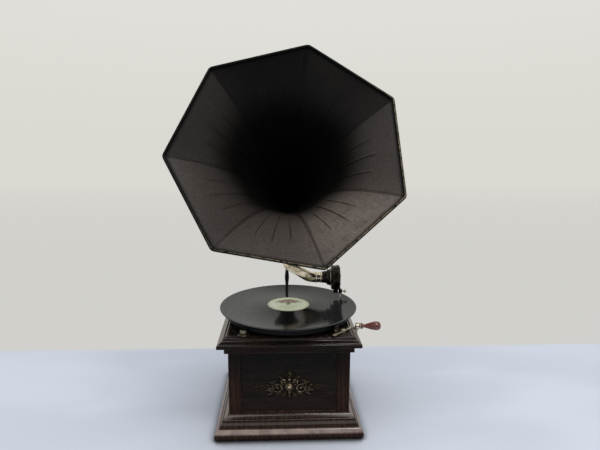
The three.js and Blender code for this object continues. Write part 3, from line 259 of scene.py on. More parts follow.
def step_between(value, low, high, to_low=0.0, to_high=1.0):
    return put(value.tree, "ShaderNodeMapRange", {0: value, 1: low, 2: high, 3: to_low, 4: to_high},
               interpolation_type="SMOOTHSTEP")


def object_place(tree):
    return put(tree, "ShaderNodeTexCoord", output="Object")


def surface_normal(tree):
    return put(tree, "ShaderNodeNewGeometry", output="Normal")


def parts_of(vector):
    """A vector's three numbers."""
    made = put(vector.tree, "ShaderNodeSeparateXYZ", {0: vector})
    return made["X"], made["Y"], made["Z"]


def facing_up(tree):
    return parts_of(surface_normal(tree))[2]


def vector_of(*parts):
    return put(parts[0].tree, "ShaderNodeCombineXYZ", dict(enumerate(parts)))


def along(vector, direction):
    """How far a vector reaches in a direction."""
    return put(vector.tree, "ShaderNodeVectorMath", {0: vector, 1: direction}, "Value", operation="DOT_PRODUCT")


def distance(x, y):
    return put(x.tree, "ShaderNodeVectorMath", {0: vector_of(x, y)}, "Value", operation="LENGTH")


def stretched(vector, x, y, z):
    return put(vector.tree, "ShaderNodeMapping", {"Vector": vector, "Scale": (x, y, z)})


def noise(vector, scale, detail=4.0, roughness=0.5, distortion=0.0):
    return put(vector.tree, "ShaderNodeTexNoise", {"Vector": vector, "Scale": scale, "Detail": detail,
                                                   "Roughness": roughness, "Distortion": distortion}, "Fac")


def make_world():
    """Even daylight; mirrors see the pale wall behind, pale sides, and a dim room with a window in front."""
    world = bpy.data.worlds.new("room")
    bpy.context.scene.world = world
    world.use_nodes = True
    tree = world.node_tree
    tree.nodes.clear()
    path = put(tree, "ShaderNodeLightPath")
    camera_ray = path["Is Camera Ray"]
    seen = larger(larger(camera_ray, path["Is Glossy Ray"]), path["Is Transmission Ray"])
    x, y, z = parts_of(put(tree, "ShaderNodeTexCoord", output="Generated"))
    sides = step_between(abs(x), 0.45, 0.85) * 0.8
    pale = larger(larger(step_between(y, -0.05, 0.4), sides), camera_ray)
    wall = blend(step_between(z, 0.0, 0.45), wall_colour, shade(227, 226, 221))
    colour = blend(pale, shade(38, 37, 36), wall)
    window = step_between(y, -0.3, -0.5) * step_between(z, 0.34, 0.46) * step_between(z, 0.86, 0.76)
    colour = blend(window * (1.0 - camera_ray), colour, (1, 0.99, 0.96, 1))
    shown = put(tree, "ShaderNodeBackground", {"Color": colour, "Strength": 1.0})
    strength = step_between(z, -0.1, 0.85, 0.22, 0.95)
    light = put(tree, "ShaderNodeBackground", {"Color": (0.95, 0.97, 1, 1), "Strength": strength})
    both = put(tree, "ShaderNodeMixShader", {0: seen, 1: light, 2: shown})
    feed(tree.nodes.new("ShaderNodeOutputWorld"), {"Surface": both})


def floor_finish():
    """Pale cloth up to the table's far edge, darkened near the object as a painted contact shadow; past it the camera
    and mirrors see the plain wall.
    """
    finish, tree, shader = new_finish("pale cloth")
    place = object_place(tree)
    y = parts_of(place)[1]
    folds = noise(stretched(place, 3.0, 7.0, 1.0), 1.0, 2.0, 0.4, 0.6)
    weave = noise(place, 900.0, 2.0)
    colour = blend(step_between(folds, 0.3, 0.7), shade(196, 201, 211), shade(203, 208, 219))
    # Painted contact shadow: the cloth darkens where the object shuts it in.
    painted_contact_shadow_ao = put(tree, "ShaderNodeAmbientOcclusion", {"Distance": 0.022}, "AO", samples=8)
    colour = over(colour, step_between(painted_contact_shadow_ao, 0.92, 0.5, 0, 0.85), 44, 46, 50)
    set_shader(shader, Base_Color=colour, Roughness=0.95, Normal=raised(weave * 0.01 + folds, 0.16, 12))
    path = put(tree, "ShaderNodeLightPath")
    shown = step_between(y, cloth_end, cloth_end + 0.01) * larger(path["Is Camera Ray"], path["Is Glossy Ray"])
    far_colour = blend(step_between(y, 0.6, 7.0), shade(209, 208, 204), wall_colour)
    wall = put(tree, "ShaderNodeEmission", {"Color": far_colour, "Strength": 1.0})
    both = put(tree, "ShaderNodeMixShader", {0: shown, 1: Strand(shader.outputs[0]), 2: wall})
    feed(tree.nodes["Material Output"], {"Surface": both})
    return finish


def make_floor():
    deselect()
    bpy.ops.mesh.primitive_plane_add(size=16)
    floor = bpy.context.object
    floor.name = "floor"
    floor.data.materials.append(floor_finish())


# ---------------------------------------------------------------- shaping

def deselect():
    if bpy.context.mode != "OBJECT":
        bpy.ops.object.mode_set(mode="OBJECT")
    bpy.ops.object.select_all(action="DESELECT")


def choose(piece):
    deselect()
    piece.select_set(True)
    bpy.context.view_layer.objects.active = piece


def open_mesh(piece):
    """Opens a piece in edit mode with all of it selected."""
    choose(piece)
    bpy.ops.object.mode_set(mode="EDIT")
    bpy.ops.mesh.select_all(action="SELECT")


def close_mesh():
    bpy.ops.object.mode_set(mode="OBJECT")
    return bpy.context.object


def tidy_mesh(piece):
    """Merges doubles and turns the faces outward."""
    open_mesh(piece)
    bpy.ops.mesh.remove_doubles(threshold=1e-6)
    bpy.ops.mesh.normals_make_consistent(inside=False)
    return close_mesh()


def drawn_up(rise):
    """Extrudes what is selected straight up or down."""
    bpy.ops.mesh.extrude_region_move(TRANSFORM_OT_translate={"value": (0, 0, rise)})


def widened(share, height):
    bpy.ops.transform.resize(value=(share, share, 1), center_override=(0, 0, height))


def close_start(count, drop):
    """Closes the first ring of a turned form, flat or to a point."""
    piece = close_mesh()
    for corner in piece.data.vertices:
        corner.select = corner.index < count
    for edge in piece.data.edges:
        edge.select = all(corner < count for corner in edge.vertices)
    for face in piece.data.polygons:
        face.select = False
    bpy.ops.object.mode_set(mode="EDIT")
    if drop:
        drawn_up(drop)
        bpy.ops.mesh.merge(type="CENTER")
    else:
        bpy.ops.mesh.edge_face_add()


def turned(profile, steps=64, place=None):
    """Round form about Z from [radius, height] pairs; a radius of zero at an end closes it."""
    rings = [(mm(radius), mm(height)) for radius, height in profile]
    start = 1 if rings[0][0] == 0 else 0
    radius, height = rings[start]
    deselect()
    bpy.ops.mesh.primitive_circle_add(vertices=steps, radius=radius)
    bpy.ops.object.mode_set(mode="EDIT")
    bpy.ops.transform.translate(value=(0, 0, height))
    for next_radius, next_height in rings[start + 1:]:
        if next_radius == 0 and next_height == height:
            bpy.ops.mesh.edge_face_add()
            break
        drawn_up(next_height - height)
        if next_radius == 0:
            bpy.ops.mesh.merge(type="CENTER")
        elif next_radius != radius:
            widened(next_radius / radius, next_height)
        radius, height = next_radius, next_height
    if start:
        close_start(steps, rings[0][1] - rings[1][1])
    return settle(tidy_mesh(close_mesh()), place)


def moulding(profile):
    """Square frame with mitred corners from [half width, height] pairs, closed on itself."""
    rings = [(mm(half), mm(height)) for half, height in profile]
    half, height = rings[0]
    deselect()
    bpy.ops.mesh.primitive_plane_add(size=2 * half)
    bpy.ops.object.mode_set(mode="EDIT")
    bpy.ops.mesh.delete(type="ONLY_FACE")
    bpy.ops.mesh.select_all(action="SELECT")
    bpy.ops.transform.translate(value=(0, 0, height))
    for next_half, next_height in [*rings[1:], rings[0]]:
        drawn_up(next_height - height)
        widened(next_half / half, next_height)
        half, height = next_half, next_height
    return tidy_mesh(close_mesh())


def board(outline, low, high, place=None):
    """Straight-sided form of an outline, from one height to another."""
    deselect()
    bpy.ops.mesh.primitive_circle_add(vertices=len(outline), fill_type="NGON")
    piece = bpy.context.object
    for corner, (x, y) in zip(piece.data.vertices, outline):
        corner.co = place_of(x, y, low)
    open_mesh(piece)
    drawn_up(mm(high - low))
    return settle(tidy_mesh(close_mesh()), place)


def lofted(rings, capped=True):
    """Skin over rings of equal count; the rings close on themselves."""
    count, rows = len(rings[0]), len(rings)
    deselect()
    bpy.ops.mesh.primitive_grid_add(x_subdivisions=count, y_subdivisions=rows - 1)
    piece = bpy.context.object
    flat = [value for ring in rings for point in [*ring, ring[0]] for value in point]
    piece.data.vertices.foreach_set("co", flat)
    open_mesh(piece)
    bpy.ops.mesh.remove_doubles(threshold=1e-6)
    if capped:
        bpy.ops.mesh.select_all(action="DESELECT")
        bpy.ops.mesh.select_mode(type="EDGE")
        bpy.ops.mesh.select_non_manifold(extend=False, use_wire=False, use_boundary=True, use_multi_face=False,
                                         use_non_contiguous=False, use_verts=False)
        bpy.ops.mesh.edge_face_add()
        bpy.ops.mesh.select_mode(type="VERT")
    bpy.ops.mesh.select_all(action="SELECT")
    bpy.ops.mesh.normals_make_consistent(inside=False)
    return close_mesh()


def rod_along(points, radii, endless=False, sides=5, capped=True):
    """Round rod along points given in metres, with a radius in millimetres at each."""
    deselect()
    bpy.ops.curve.primitive_nurbs_path_add()
    piece = bpy.context.object
    bpy.ops.object.mode_set(mode="EDIT")
    bpy.ops.curve.select_all(action="SELECT")
    bpy.ops.curve.spline_type_set(type="POLY")
    bpy.ops.object.mode_set(mode="OBJECT")
    line = piece.data.splines[0]
    line.points.add(len(points) - len(line.points))
    for knot, point, radius in zip(line.points, points, radii):
        knot.co = (*point, 1)
        knot.radius = radius
    line.use_cyclic_u = endless
    piece.data.bevel_depth = mm(1)
    piece.data.bevel_resolution = sides
    piece.data.use_fill_caps = capped and not endless
    bpy.ops.object.convert(target="MESH")
    return bpy.context.object


def settle(piece, matrix):
    """Moves a finished form to its place, if it has one, and writes the place into its mesh."""
    if matrix:
        choose(piece)
        piece.matrix_world = matrix @ piece.matrix_world
        bpy.ops.object.transform_apply(location=True, rotation=True, scale=True)
    return piece


def shifted(x, y, z):
    return Matrix.Translation(place_of(x, y, z))


def about(axis, angle):
    return Matrix.Rotation(angle, 4, axis)


to_right = about("Y", quarter)
to_front = about("X", quarter)
to_back = about("X", -quarter)


def changed(piece, kind, **settings):
    """Adds a modifier with these settings and applies it."""
    choose(piece)
    change = piece.modifiers.new("change", kind)
    for name, value in settings.items():
        setattr(change, name, value)
    bpy.ops.object.modifier_apply(modifier=change.name)
    return piece


def round_edges(piece, width, segments=2, angle=30):
    return changed(piece, "BEVEL", width=mm(width), segments=segments, limit_method="ANGLE",
                   angle_limit=math.radians(angle), use_clamp_overlap=True)


def thicken(piece, thick):
    return changed(piece, "SOLIDIFY", thickness=mm(thick), offset=-1, use_even_offset=True)


def cut_away(piece, tool):
    changed(piece, "BOOLEAN", object=tool, operation="DIFFERENCE", solver="EXACT")
    discard(tool)
    return piece


def discard(*pieces):
    for piece in pieces:
        bpy.data.objects.remove(piece, do_unlink=True)


def joined(*pieces):
    deselect()
    for piece in pieces:
        piece.select_set(True)
    bpy.context.view_layer.objects.active = pieces[0]
    if len(pieces) > 1:
        bpy.ops.object.join()
    return bpy.context.view_layer.objects.active


def copied(piece, matrix):
    """A copy with its own mesh, moved to its place."""
    choose(piece)
    bpy.ops.object.duplicate(linked=False)
    return settle(bpy.context.object, matrix)


def finished(piece, name, body, finish, slot, *nodes, angle=32):
    """Names a piece, gives it its finish and lets it ride on its body in place of CAD nodes."""
    piece.name = name
    piece.data.name = name
    piece.data.materials.clear()
    piece.data.materials.append(finish)
    choose(piece)
    bpy.ops.object.shade_smooth_by_angle(angle=math.radians(angle))
    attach(piece, body)
    if nodes:
        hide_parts(*nodes)


def smooth_line(points, steps=4):
    """Points on a smooth curve through the given ones; a point given twice stays a sharp corner."""
    result = []
    last = len(points) - 1
    for i in range(last):
        a, b = points[i], points[i + 1]
        if a == b:
            continue
        before = a if i == 0 or points[i - 1] == a else points[i - 1]
        after = b if i + 2 > last or points[i + 2] == b else points[i + 2]
        for k in range(steps):
            t = k / steps
            result.append(tuple(
                0.5 * (2 * q + (r - p) * t + (2 * p - 5 * q + 4 * r - s) * t * t + (3 * q - p - 3 * r + s) * t ** 3)
                for p, q, r, s in zip(before, a, b, after)))
    result.append(tuple(points[-1]))
    return result


def bent_line(corners, bends, steps=8):
    """Points along straight runs with a round bend at each inner corner."""
    result = [corners[0]]
    for before, corner, after, bend in zip(corners, corners[1:], corners[2:], bends):
        into = (corner - before).normalized()
        out = (after - corner).normalized()
        angle = into.angle(out)
        start = corner - into * bend * math.tan(angle / 2)
        inward = (out - into * into.dot(out)).normalized()
        for k in range(steps + 1):
            turn = angle * k / steps
            result.append(start + into * bend * math.sin(turn) + inward * bend * (1 - math.cos(turn)))
    result.append(corners[-1])
    return result


def squarish(half_x, half_y, power_x, power_y, count):
    """Points round an oval drawn out toward its corners."""
    points = []
    for k in range(count):
        c, s = math.cos(full_turn * k / count), math.sin(full_turn * k / count)
        points.append((half_x * math.copysign(abs(c) ** power_x, c), half_y * math.copysign(abs(s) ** power_y, s)))
    return points


# ---------------------------------------------------------------- effects that several finishes use

number_socket, colour_socket, vector_socket = "NodeSocketFloat", "NodeSocketColor", "NodeSocketVector"


def new_group(name, inputs, outputs):
    """An empty effect: its tree, what it is given and the node that it feeds."""
    group = bpy.data.node_groups.new(name, "ShaderNodeTree")
    for label, kind, value in inputs:
        socket = group.interface.new_socket(name=label, in_out="INPUT", socket_type=kind)
        if value is not None:
            socket.default_value = value
    for label, kind in outputs:
        group.interface.new_socket(name=label, in_out="OUTPUT", socket_type=kind)
    return group, put(group, "NodeGroupInput"), group.nodes.new("NodeGroupOutput")


def grain_group():
    """Oak grain that runs along the third coordinate: streaks, growth bands, pores and rays."""
    group, given, out = new_group(
        "oak grain",
        [("Place", vector_socket, None), ("Dark", colour_socket, (0.01, 0.006, 0.004, 1)),
         ("Light", colour_socket, (0.06, 0.03, 0.018, 1)), ("Pores", number_socket, 0.7)],
        [("Colour", colour_socket), ("Height", number_socket), ("Gloss", number_socket)])
    place = given["Place"]
    wander = noise(stretched(place, 9, 9, 2.2), 1.0, 2.0)
    bent = put(group, "ShaderNodeVectorMath", {0: place, 1: vector_of(wander * 0.035)})
    streaks = noise(stretched(bent, 300, 300, 11), 1.0, 7.0, 0.68)
    mottle = noise(stretched(place, 60, 60, 24), 1.0, 4.0, 0.6)
    bands = put(group, "ShaderNodeTexWave", {
        "Vector": stretched(bent, 1, 1, 0.12), "Scale": 34.0, "Distortion": 5.0, "Detail": 3.0,
        "Detail Scale": 1.6}, "Fac", wave_profile="SAW")
    pores = step_between(noise(stretched(bent, 2100, 2100, 60), 1.0, 3.0, 0.6), 0.56, 0.66)
    dips = pores * step_between(streaks, 0.42, 0.6) * given["Pores"]
    rays = step_between(noise(stretched(place, 260, 1500, 34), 1.0, 1.0), 0.66, 0.72)
    mixed = mottle * 0.3 + (bands * 0.16 + streaks * 0.7)
    tone = step_between(mixed, 0.36, 0.82)
    colour = blend(tone, given["Dark"], given["Light"])
    colour = blend(rays * 0.22, colour, given["Light"])
    colour = blend(dips, colour, given["Dark"])
    feed(out, {"Colour": colour, "Height": mixed * 0.35 - dips, "Gloss": dips * 0.25 + tone * 0.08})
    return group


def edges_group():
    """Where edges are worn, and how far a point lies shut in a corner: painted shade on wood, dark patina on metal.
    """
    group, given, out = new_group(
        "worn edges",
        [("Radius", number_socket, 0.0012), ("Depth", number_socket, 0.006), ("Breakup", number_socket, 90.0)],
        [("Edge", number_socket), ("Recess", number_socket)])
    rounded = put(group, "ShaderNodeBevel", {"Radius": given["Radius"]}, samples=4)
    sharp = step_between(along(rounded, surface_normal(group)), 0.995, 0.86)
    patchy = noise(object_place(group), given["Breakup"], 5.0, 0.65)
    shut = put(group, "ShaderNodeAmbientOcclusion", {"Distance": given["Depth"]}, "AO", samples=6, only_local=True)
    feed(out, {"Edge": sharp * step_between(patchy, 0.36, 0.62), "Recess": step_between(shut, 0.92, 0.35)})
    return group


def age_group():
    """Fine scratches, blotches of tarnish and dust on what faces up."""
    group, given, out = new_group(
        "age marks",
        [("Scale", number_socket, 1.0), ("Scratches", number_socket, 0.5), ("Blotches", number_socket, 0.5),
         ("Dust", number_socket, 0.3)],
        [("Scratch", number_socket), ("Blotch", number_socket), ("Dust", number_socket)])
    place = put(group, "ShaderNodeVectorMath", {0: object_place(group), 3: given["Scale"]}, operation="SCALE")
    fine = noise(stretched(place, 30, 1400, 900), 1.0, 2.0)
    cross = noise(stretched(place, 1300, 45, 700), 1.0, 2.0)
    lines = larger(step_between(fine, 0.66, 0.72), step_between(cross, 0.67, 0.73))
    sparse = step_between(noise(place, 30.0, 2.0), 0.46, 0.62)
    blotch = step_between(noise(place, 60.0, 7.0, 0.62, 0.4), 0.44, 0.66)
    upward = step_between(facing_up(group), 0.3, 1.0)
    settled = step_between(noise(place, 140.0, 6.0, 0.7), 0.35, 0.75)
    feed(out, {"Scratch": lines * sparse * given["Scratches"], "Blotch": blotch * given["Blotches"],
               "Dust": upward * settled * given["Dust"]})
    return group


oak_grain = grain_group()
worn_edges = edges_group()
age_marks = age_group()


def use(tree, group, **values):
    return put(tree, "ShaderNodeGroup", values, node_tree=group)


def new_finish(name):
    finish = bpy.data.materials.new(name)
    finish.use_nodes = True
    return finish, finish.node_tree, finish.node_tree.nodes["Principled BSDF"]


def set_shader(shader, **values):
    """Puts values or strands on the shader's sockets; underscores stand for spaces."""
    feed(shader, {name.replace("_", " "): value for name, value in values.items()})


def raised(height, strength, distance):
    """A bump whose full height is a distance in millimetres."""
    return put(height.tree, "ShaderNodeBump", {"Strength": strength, "Distance": mm(distance), "Height": height})


def kept_mark(tree, name):
    """A measure that the piece keeps on its own mesh."""
    return put(tree, "ShaderNodeAttribute", output="Fac", attribute_name=name)


# ---------------------------------------------------------------- finishes

def along_grain(tree, direction, shift):
    """Object coordinates with the grain's direction third; a mitred frame's grain runs round it."""
    x, y, z = parts_of(put(tree, "ShaderNodeMapping", {"Vector": object_place(tree), "Location": shift}))
    if direction == "frame":
        side = maths("GREATER_THAN", abs(x), abs(y))
        across = put(tree, "ShaderNodeMix", {0: side, 2: y, 3: x})
        run = put(tree, "ShaderNodeMix", {0: side, 2: x, 3: y})
        return vector_of(across, z, run)
    return vector_of(*{"x": (y, z, x), "y": (x, z, y), "z": (x, y, z)}[direction])


def varnished_oak(name, direction, dark, light, shift=(0, 0, 0), gloss=0.8, crest_highlight=0.0, coat_ior=1.5):
    """Dark varnished oak, glossy on what faces up, with painted light and shade: crest sets a pale, patchy highlight
    band on the foot's round, a frame's flanks get a painted reflection, boards a painted shadow under the cornice,
    and corners painted shade.
    """
    finish, tree, shader = new_finish(name)
    place = object_place(tree)
    grain = use(tree, oak_grain, Place=along_grain(tree, direction, shift), Dark=dark, Light=light)
    edges = use(tree, worn_edges, Radius=0.0014, Depth=0.007, Breakup=70.0)
    age = use(tree, age_marks, Scale=1.0, Scratches=0.5, Blotches=0.5, Dust=0.25)
    across, _, up = parts_of(surface_normal(tree))
    high = parts_of(place)[2]
    colour = over(grain["Colour"], edges["Edge"] * 0.5, 128, 88, 66)
    if crest_highlight:
        # Painted highlight: a pale, patchy band on the top of the foot's round, where the light catches it.
        painted_foot_highlight = step_between(up, 0.2, 0.55) * step_between(high, mm(20), mm(18.4))
        patchy = step_between(noise(place, 34.0, 5.0, 0.62), 0.3, 0.68, 0.4, 1.0)
        colour = over(colour, painted_foot_highlight * patchy * crest_highlight, 186, 164, 154)
    if direction == "frame":
        # Painted reflection: a frame's side-facing faces paler, as where they mirror the pale room.
        painted_flank_sheen = step_between(abs(across), 0.2, 0.5, 0, 0.5) * step_between(up, -0.1, 0.15)
        colour = over(colour, painted_flank_sheen, 130, 110, 100)
    else:
        # Painted shadow: boards darker toward the top, under the cornice.
        painted_cornice_shadow = step_between(high, mm(cornice_bottom), mm(70), 0.72, 0)
        colour = over(colour, painted_cornice_shadow, 4, 3, 3)
    # Painted shade: darker in corners and recesses.
    colour = over(colour, edges["Recess"] * 0.8, 9, 7, 6)
    colour = over(colour, age["Scratch"] * 0.3, 120, 96, 80)
    colour = over(colour, age["Dust"] * 0.35, 120, 112, 104)
    rough = limited(edges["Edge"] * 0.12 + (age["Blotch"] * 0.16 + grain["Gloss"] + 0.2))
    coat = limited(gloss - edges["Edge"] * (gloss / 2)) * step_between(up, 0.1, 0.6, 0.05, 1)
    set_shader(shader, Base_Color=colour, Roughness=rough, Coat_Weight=coat, Coat_Roughness=0.13, Coat_IOR=coat_ior,
               Specular_IOR_Level=0.08, Normal=raised(grain["Height"], 0.32, 0.25))
    return finish


def raw_oak():
    finish, tree, shader = new_finish("oak inside the case")
    grain = use(tree, oak_grain, Place=along_grain(tree, "x", (0.3, 0, 0)), Dark=shade(70, 50, 36),
                Light=shade(120, 92, 66))
    set_shader(shader, Base_Color=grain["Colour"], Roughness=grain["Gloss"] + 0.65,
               Normal=raised(grain["Height"], 0.5, 0.3))
    return finish


def horn_lacquer(name, deep, fair, dust_and_light, rough):
    """Brown-black lacquer on sheet iron, its streaks and scratches running from rim to throat; on the inside, marks
    kept on the mesh paint in light and shade.
    """
    finish, tree, shader = new_finish(name)
    place = object_place(tree)
    flat = put(tree, "ShaderNodeUVMap", uv_map="petals")
    crease_light_and_shade, outside, painted_depth_shade = [kept_mark(tree, mark) for mark in ("crease_light_and_shade", "outside", "painted_depth_shade")]
    age = use(tree, age_marks, Scale=0.8, Scratches=0.5, Blotches=1.0, Dust=0.4)
    edges = use(tree, worn_edges, Radius=0.001, Depth=0.004, Breakup=60.0)
    streaks = noise(stretched(flat, 26, 2.2, 1), 1.0, 6.0, 0.6, 0.3)
    cloud = noise(place, 9.0, 4.0, 0.55)
    colour = blend(step_between(streaks * 0.2 + cloud * 0.8, 0.36, 0.68), deep, fair)
    hairlines = step_between(noise(stretched(flat, 420, 5, 1), 1.0, 2.0), 0.68, 0.74)
    scratch = hairlines * step_between(noise(stretched(flat, 5, 3, 1), 1.0, 3.0), 0.5, 0.66)
    colour = over(colour, scratch * 0.55, 150, 134, 112)
    settled = step_between(facing_up(tree), -0.4, 1.0, 0.1, 0.5) * outside
    # Inside, the kept dust mark is dust and painted light: the petals that the light falls on are painted pale.
    dust_and_light_share = limited((settled + kept_mark(tree, "dust_and_light")) * (cloud * 0.7 + 0.6))
    colour = blend(dust_and_light_share, colour, dust_and_light)
    colour = over(colour, age["Blotch"] * (dust_and_light_share * 0.35), 58, 45, 37)
    # Painted highlight on the crests of flutes and seams, where they are lit.
    crease_highlight = limited(crease_light_and_shade * -0.3 * step_between(dust_and_light_share, 0.1, 0.6, 0.12, 1.0))
    colour = over(colour, crease_highlight, 170, 158, 140)
    # Painted shade along one flank of each flute and seam.
    colour = over(colour, limited(crease_light_and_shade * 0.85), 6, 5, 4)
    colour = over(colour, edges["Edge"] * 0.35, 120, 104, 86)
    mottle = step_between(noise(place, 260.0, 4.0, 0.7), 0.4, 0.66, 0, 0.34) * (1.0 - outside)
    colour = over(colour, mottle, 22, 16, 12)
    # Painted shade: black deep in the horn and at the mouth's inner edge.
    colour = over(colour, painted_depth_shade * 0.96, 5, 5, 4)
    rough = limited(streaks * 0.04 + (age["Blotch"] * 0.14 + rough))
    height = scratch * -0.06 + noise(place, 22.0, 2.0, 0.4)
    set_shader(shader, Base_Color=colour, Roughness=limited(painted_depth_shade * 0.3 + rough), Specular_IOR_Level=0.08,
               Coat_Weight=(1.0 - painted_depth_shade) * (dust_and_light_share * 0.2 + 0.05), Coat_Roughness=0.3, Normal=raised(height, 0.2, 1.2))
    return finish


def old_metal(name, clean, dull, rough, scale=1.6, blotches=0.8):
    """Plated or bare metal: tarnish in blotches and corners, bright on worn edges."""
    finish, tree, shader = new_finish(name)
    age = use(tree, age_marks, Scale=scale, Scratches=0.8, Blotches=blotches, Dust=0.3)
    edges = use(tree, worn_edges, Radius=0.0008, Depth=0.004, Breakup=60.0)
    fine = noise(object_place(tree), 420.0, 5.0, 0.6)
    colour = blend(age["Blotch"], clean, dull)
    colour = over(colour, edges["Recess"] * 0.8, 40, 33, 26)
    colour = blend(edges["Edge"] * 0.6, colour, clean)
    colour = over(colour, age["Scratch"] * 0.4, 235, 228, 215)
    rough = limited(fine * 0.1 + (age["Blotch"] * 0.22 + rough))
    set_shader(shader, Base_Color=colour, Roughness=rough, Metallic=1.0,
               Normal=raised(fine + age["Scratch"], 0.06, 0.3))
    return finish


def iron_finish():
    """Black-painted casting with a pebbled skin."""
    finish, tree, shader = new_finish("painted iron")
    skin = noise(object_place(tree), 700.0, 4.0, 0.6)
    age = use(tree, age_marks, Scale=1.2, Scratches=0.5, Blotches=0.7, Dust=0.5)
    edges = use(tree, worn_edges, Radius=0.001, Depth=0.005, Breakup=120.0)
    colour = blend(age["Blotch"], shade(14, 13, 12), shade(28, 24, 20))
    colour = over(colour, edges["Edge"] * 0.7, 104, 96, 86)
    colour = over(colour, age["Dust"] * 0.3, 110, 104, 96)
    set_shader(shader, Base_Color=colour, Metallic=edges["Edge"] * 0.7, Roughness=skin * 0.2 + 0.3,
               Specular_IOR_Level=0.3, Normal=raised(skin, 0.3, 0.3))
    return finish


def elbow_finish():
    """Black lacquer on the cast elbow and its collar."""
    finish, tree, shader = new_finish("elbow lacquer")
    age = use(tree, age_marks, Scale=1.0, Scratches=0.7, Blotches=0.8, Dust=0.4)
    edges = use(tree, worn_edges, Radius=0.001, Depth=0.005, Breakup=90.0)
    skin = noise(object_place(tree), 260.0, 4.0, 0.6)
    colour = blend(age["Blotch"], shade(12, 11, 10), shade(24, 20, 17))
    colour = over(colour, edges["Edge"] * 0.6, 112, 100, 82)
    colour = over(colour, age["Dust"] * 0.25, 110, 102, 92)
    colour = over(colour, age["Scratch"] * 0.3, 110, 102, 90)
    set_shader(shader, Base_Color=colour, Roughness=age["Blotch"] * 0.2 + 0.34, Specular_IOR_Level=0.25,
               Coat_Weight=0.2, Coat_Roughness=0.24, Normal=raised(skin, 0.12, 0.3))
    return finish


def gilt_finish():
    """Gilded brass: bright where the relief stands proud, dark brown where it falls back."""
    finish, tree, shader = new_finish("gilded brass")
    place = object_place(tree)
    x, y, _ = parts_of(place)
    inward = step_between(abs(x), mm(52), mm(34))
    rub = noise(place, 260.0, 5.0, 0.65)
    age = use(tree, age_marks, Scale=2.0, Scratches=0.4, Blotches=0.7, Dust=0.2)
    edges = use(tree, worn_edges, Radius=0.0007, Depth=0.003, Breakup=200.0)
    bright = step_between(y, mm(-98.8), mm(-101.4)) * step_between(rub, 0.42, 0.66) * (inward * 0.7 + 0.3)
    colour = blend(bright, shade(46, 35, 24), shade(226, 204, 160))
    colour = over(colour, edges["Recess"] * 0.8, 34, 22, 14)
    colour = over(colour, age["Blotch"] * 0.3, 70, 64, 42)
    set_shader(shader, Base_Color=colour, Metallic=bright * 0.35 + 0.6, Roughness=bright * -0.16 + 0.48,
               Normal=raised(rub, 0.25, 0.3))
    return finish


def felt_finish():
    finish, tree, shader = new_finish("green felt")
    place = object_place(tree)
    fluff = noise(place, 1500.0, 6.0, 0.75)
    patch = step_between(noise(place, 34.0, 4.0, 0.6), 0.3, 0.7)
    colour = over(blend(patch, shade(34, 46, 34), shade(54, 64, 48)), fluff * 0.3, 96, 104, 84)
    set_shader(shader, Base_Color=colour, Roughness=1.0, Sheen_Weight=0.4, Normal=raised(fluff, 0.7, 0.5))
    return finish


def shellac_finish():
    """Black shellac cut with fine grooves in four bands, with smooth rings between them; dust with painted light
    paler on its left, and a pale ring at its rim as a painted highlight.
    """
    finish, tree, shader = new_finish("black shellac")
    x, y, _ = parts_of(object_place(tree))
    away = distance(x, y)
    grooves = maths("SINE", away * (full_turn / mm(0.9)))
    gaps = maths("COSINE", away * (full_turn / mm(19.4)))
    fine = noise(vector_of(away * 2600.0), 1.0, 3.0, 0.7)
    cut = step_between(away, mm(43), mm(45)) * step_between(away, mm(121.5), mm(120))
    played = cut * step_between(gaps, 0.985, 0.96)
    age = use(tree, age_marks, Scale=1.0, Scratches=0.4, Blotches=0.6, Dust=0.6)
    colour = blend(played, shade(10, 9, 10), shade(14, 13, 15))
    # Dust and painted light: more pale dust toward the left, where the light falls on the record, a little toward the
    # right.
    thick = step_between(x, mm(5), mm(-80), 0.03, 0.95) + step_between(x, mm(20), mm(80), 0, 0.3)
    colour = over(colour, (age["Dust"] * 0.45 + 0.3) * thick, 112, 111, 110)
    face = step_between(facing_up(tree), 0.4, 0.8)
    colour = blend(face, shade(5, 5, 6), colour)
    # Painted highlight with some wear: a pale ring along the record's rim.
    colour = over(colour, step_between(away, mm(123.6), mm(124.3), 0, 0.7) * face, 118, 118, 120)
    rough = fine * 0.03 + (age["Blotch"] * 0.03 + (played * 0.04 + 0.045))
    set_shader(shader, Base_Color=colour, Roughness=rough, IOR=1.19,
               Normal=raised((grooves * 0.5 + fine) * played, 0.03, 0.1))
    return finish


def label_ink(place, x, y, fan_y, reach):
    """The label's plain ornament: rings at its edge, a wreath and a fan above, broken bars below."""
    away = distance(x, y)

    def ring(radius, half):
        return step_between(abs(away - mm(radius)), mm(half), mm(half * 0.6))

    leaves = abs(maths("SINE", maths("ARCTAN2", y, x) * 13.0))
    wreath = ring(22, 6) * step_between(y, mm(7), mm(9)) * step_between(leaves, 0.35, 0.6)
    spokes = abs(maths("COSINE", maths("ARCTAN2", fan_y, x) * 5.0))
    fan = step_between(reach, mm(17), mm(15.5)) * step_between(spokes, 0.25, 0.5)
    fan = fan * step_between(fan_y, mm(-1.5), mm(0))
    bars = step_between(maths("SINE", y * (full_turn / mm(4.4))), 0.3, 0.6)
    low = step_between(y, mm(-9), mm(-10)) * step_between(y, mm(-25), mm(-24))
    broken = step_between(noise(stretched(place, 900, 200, 1), 1.0, 1.0), 0.42, 0.5)
    bars = bars * low * (step_between(abs(x), mm(17), mm(15)) * broken)
    rim = larger(ring(36.4, 0.5), ring(34.9, 0.3))
    return larger(larger(rim, larger(wreath, fan)), bars * 0.7)


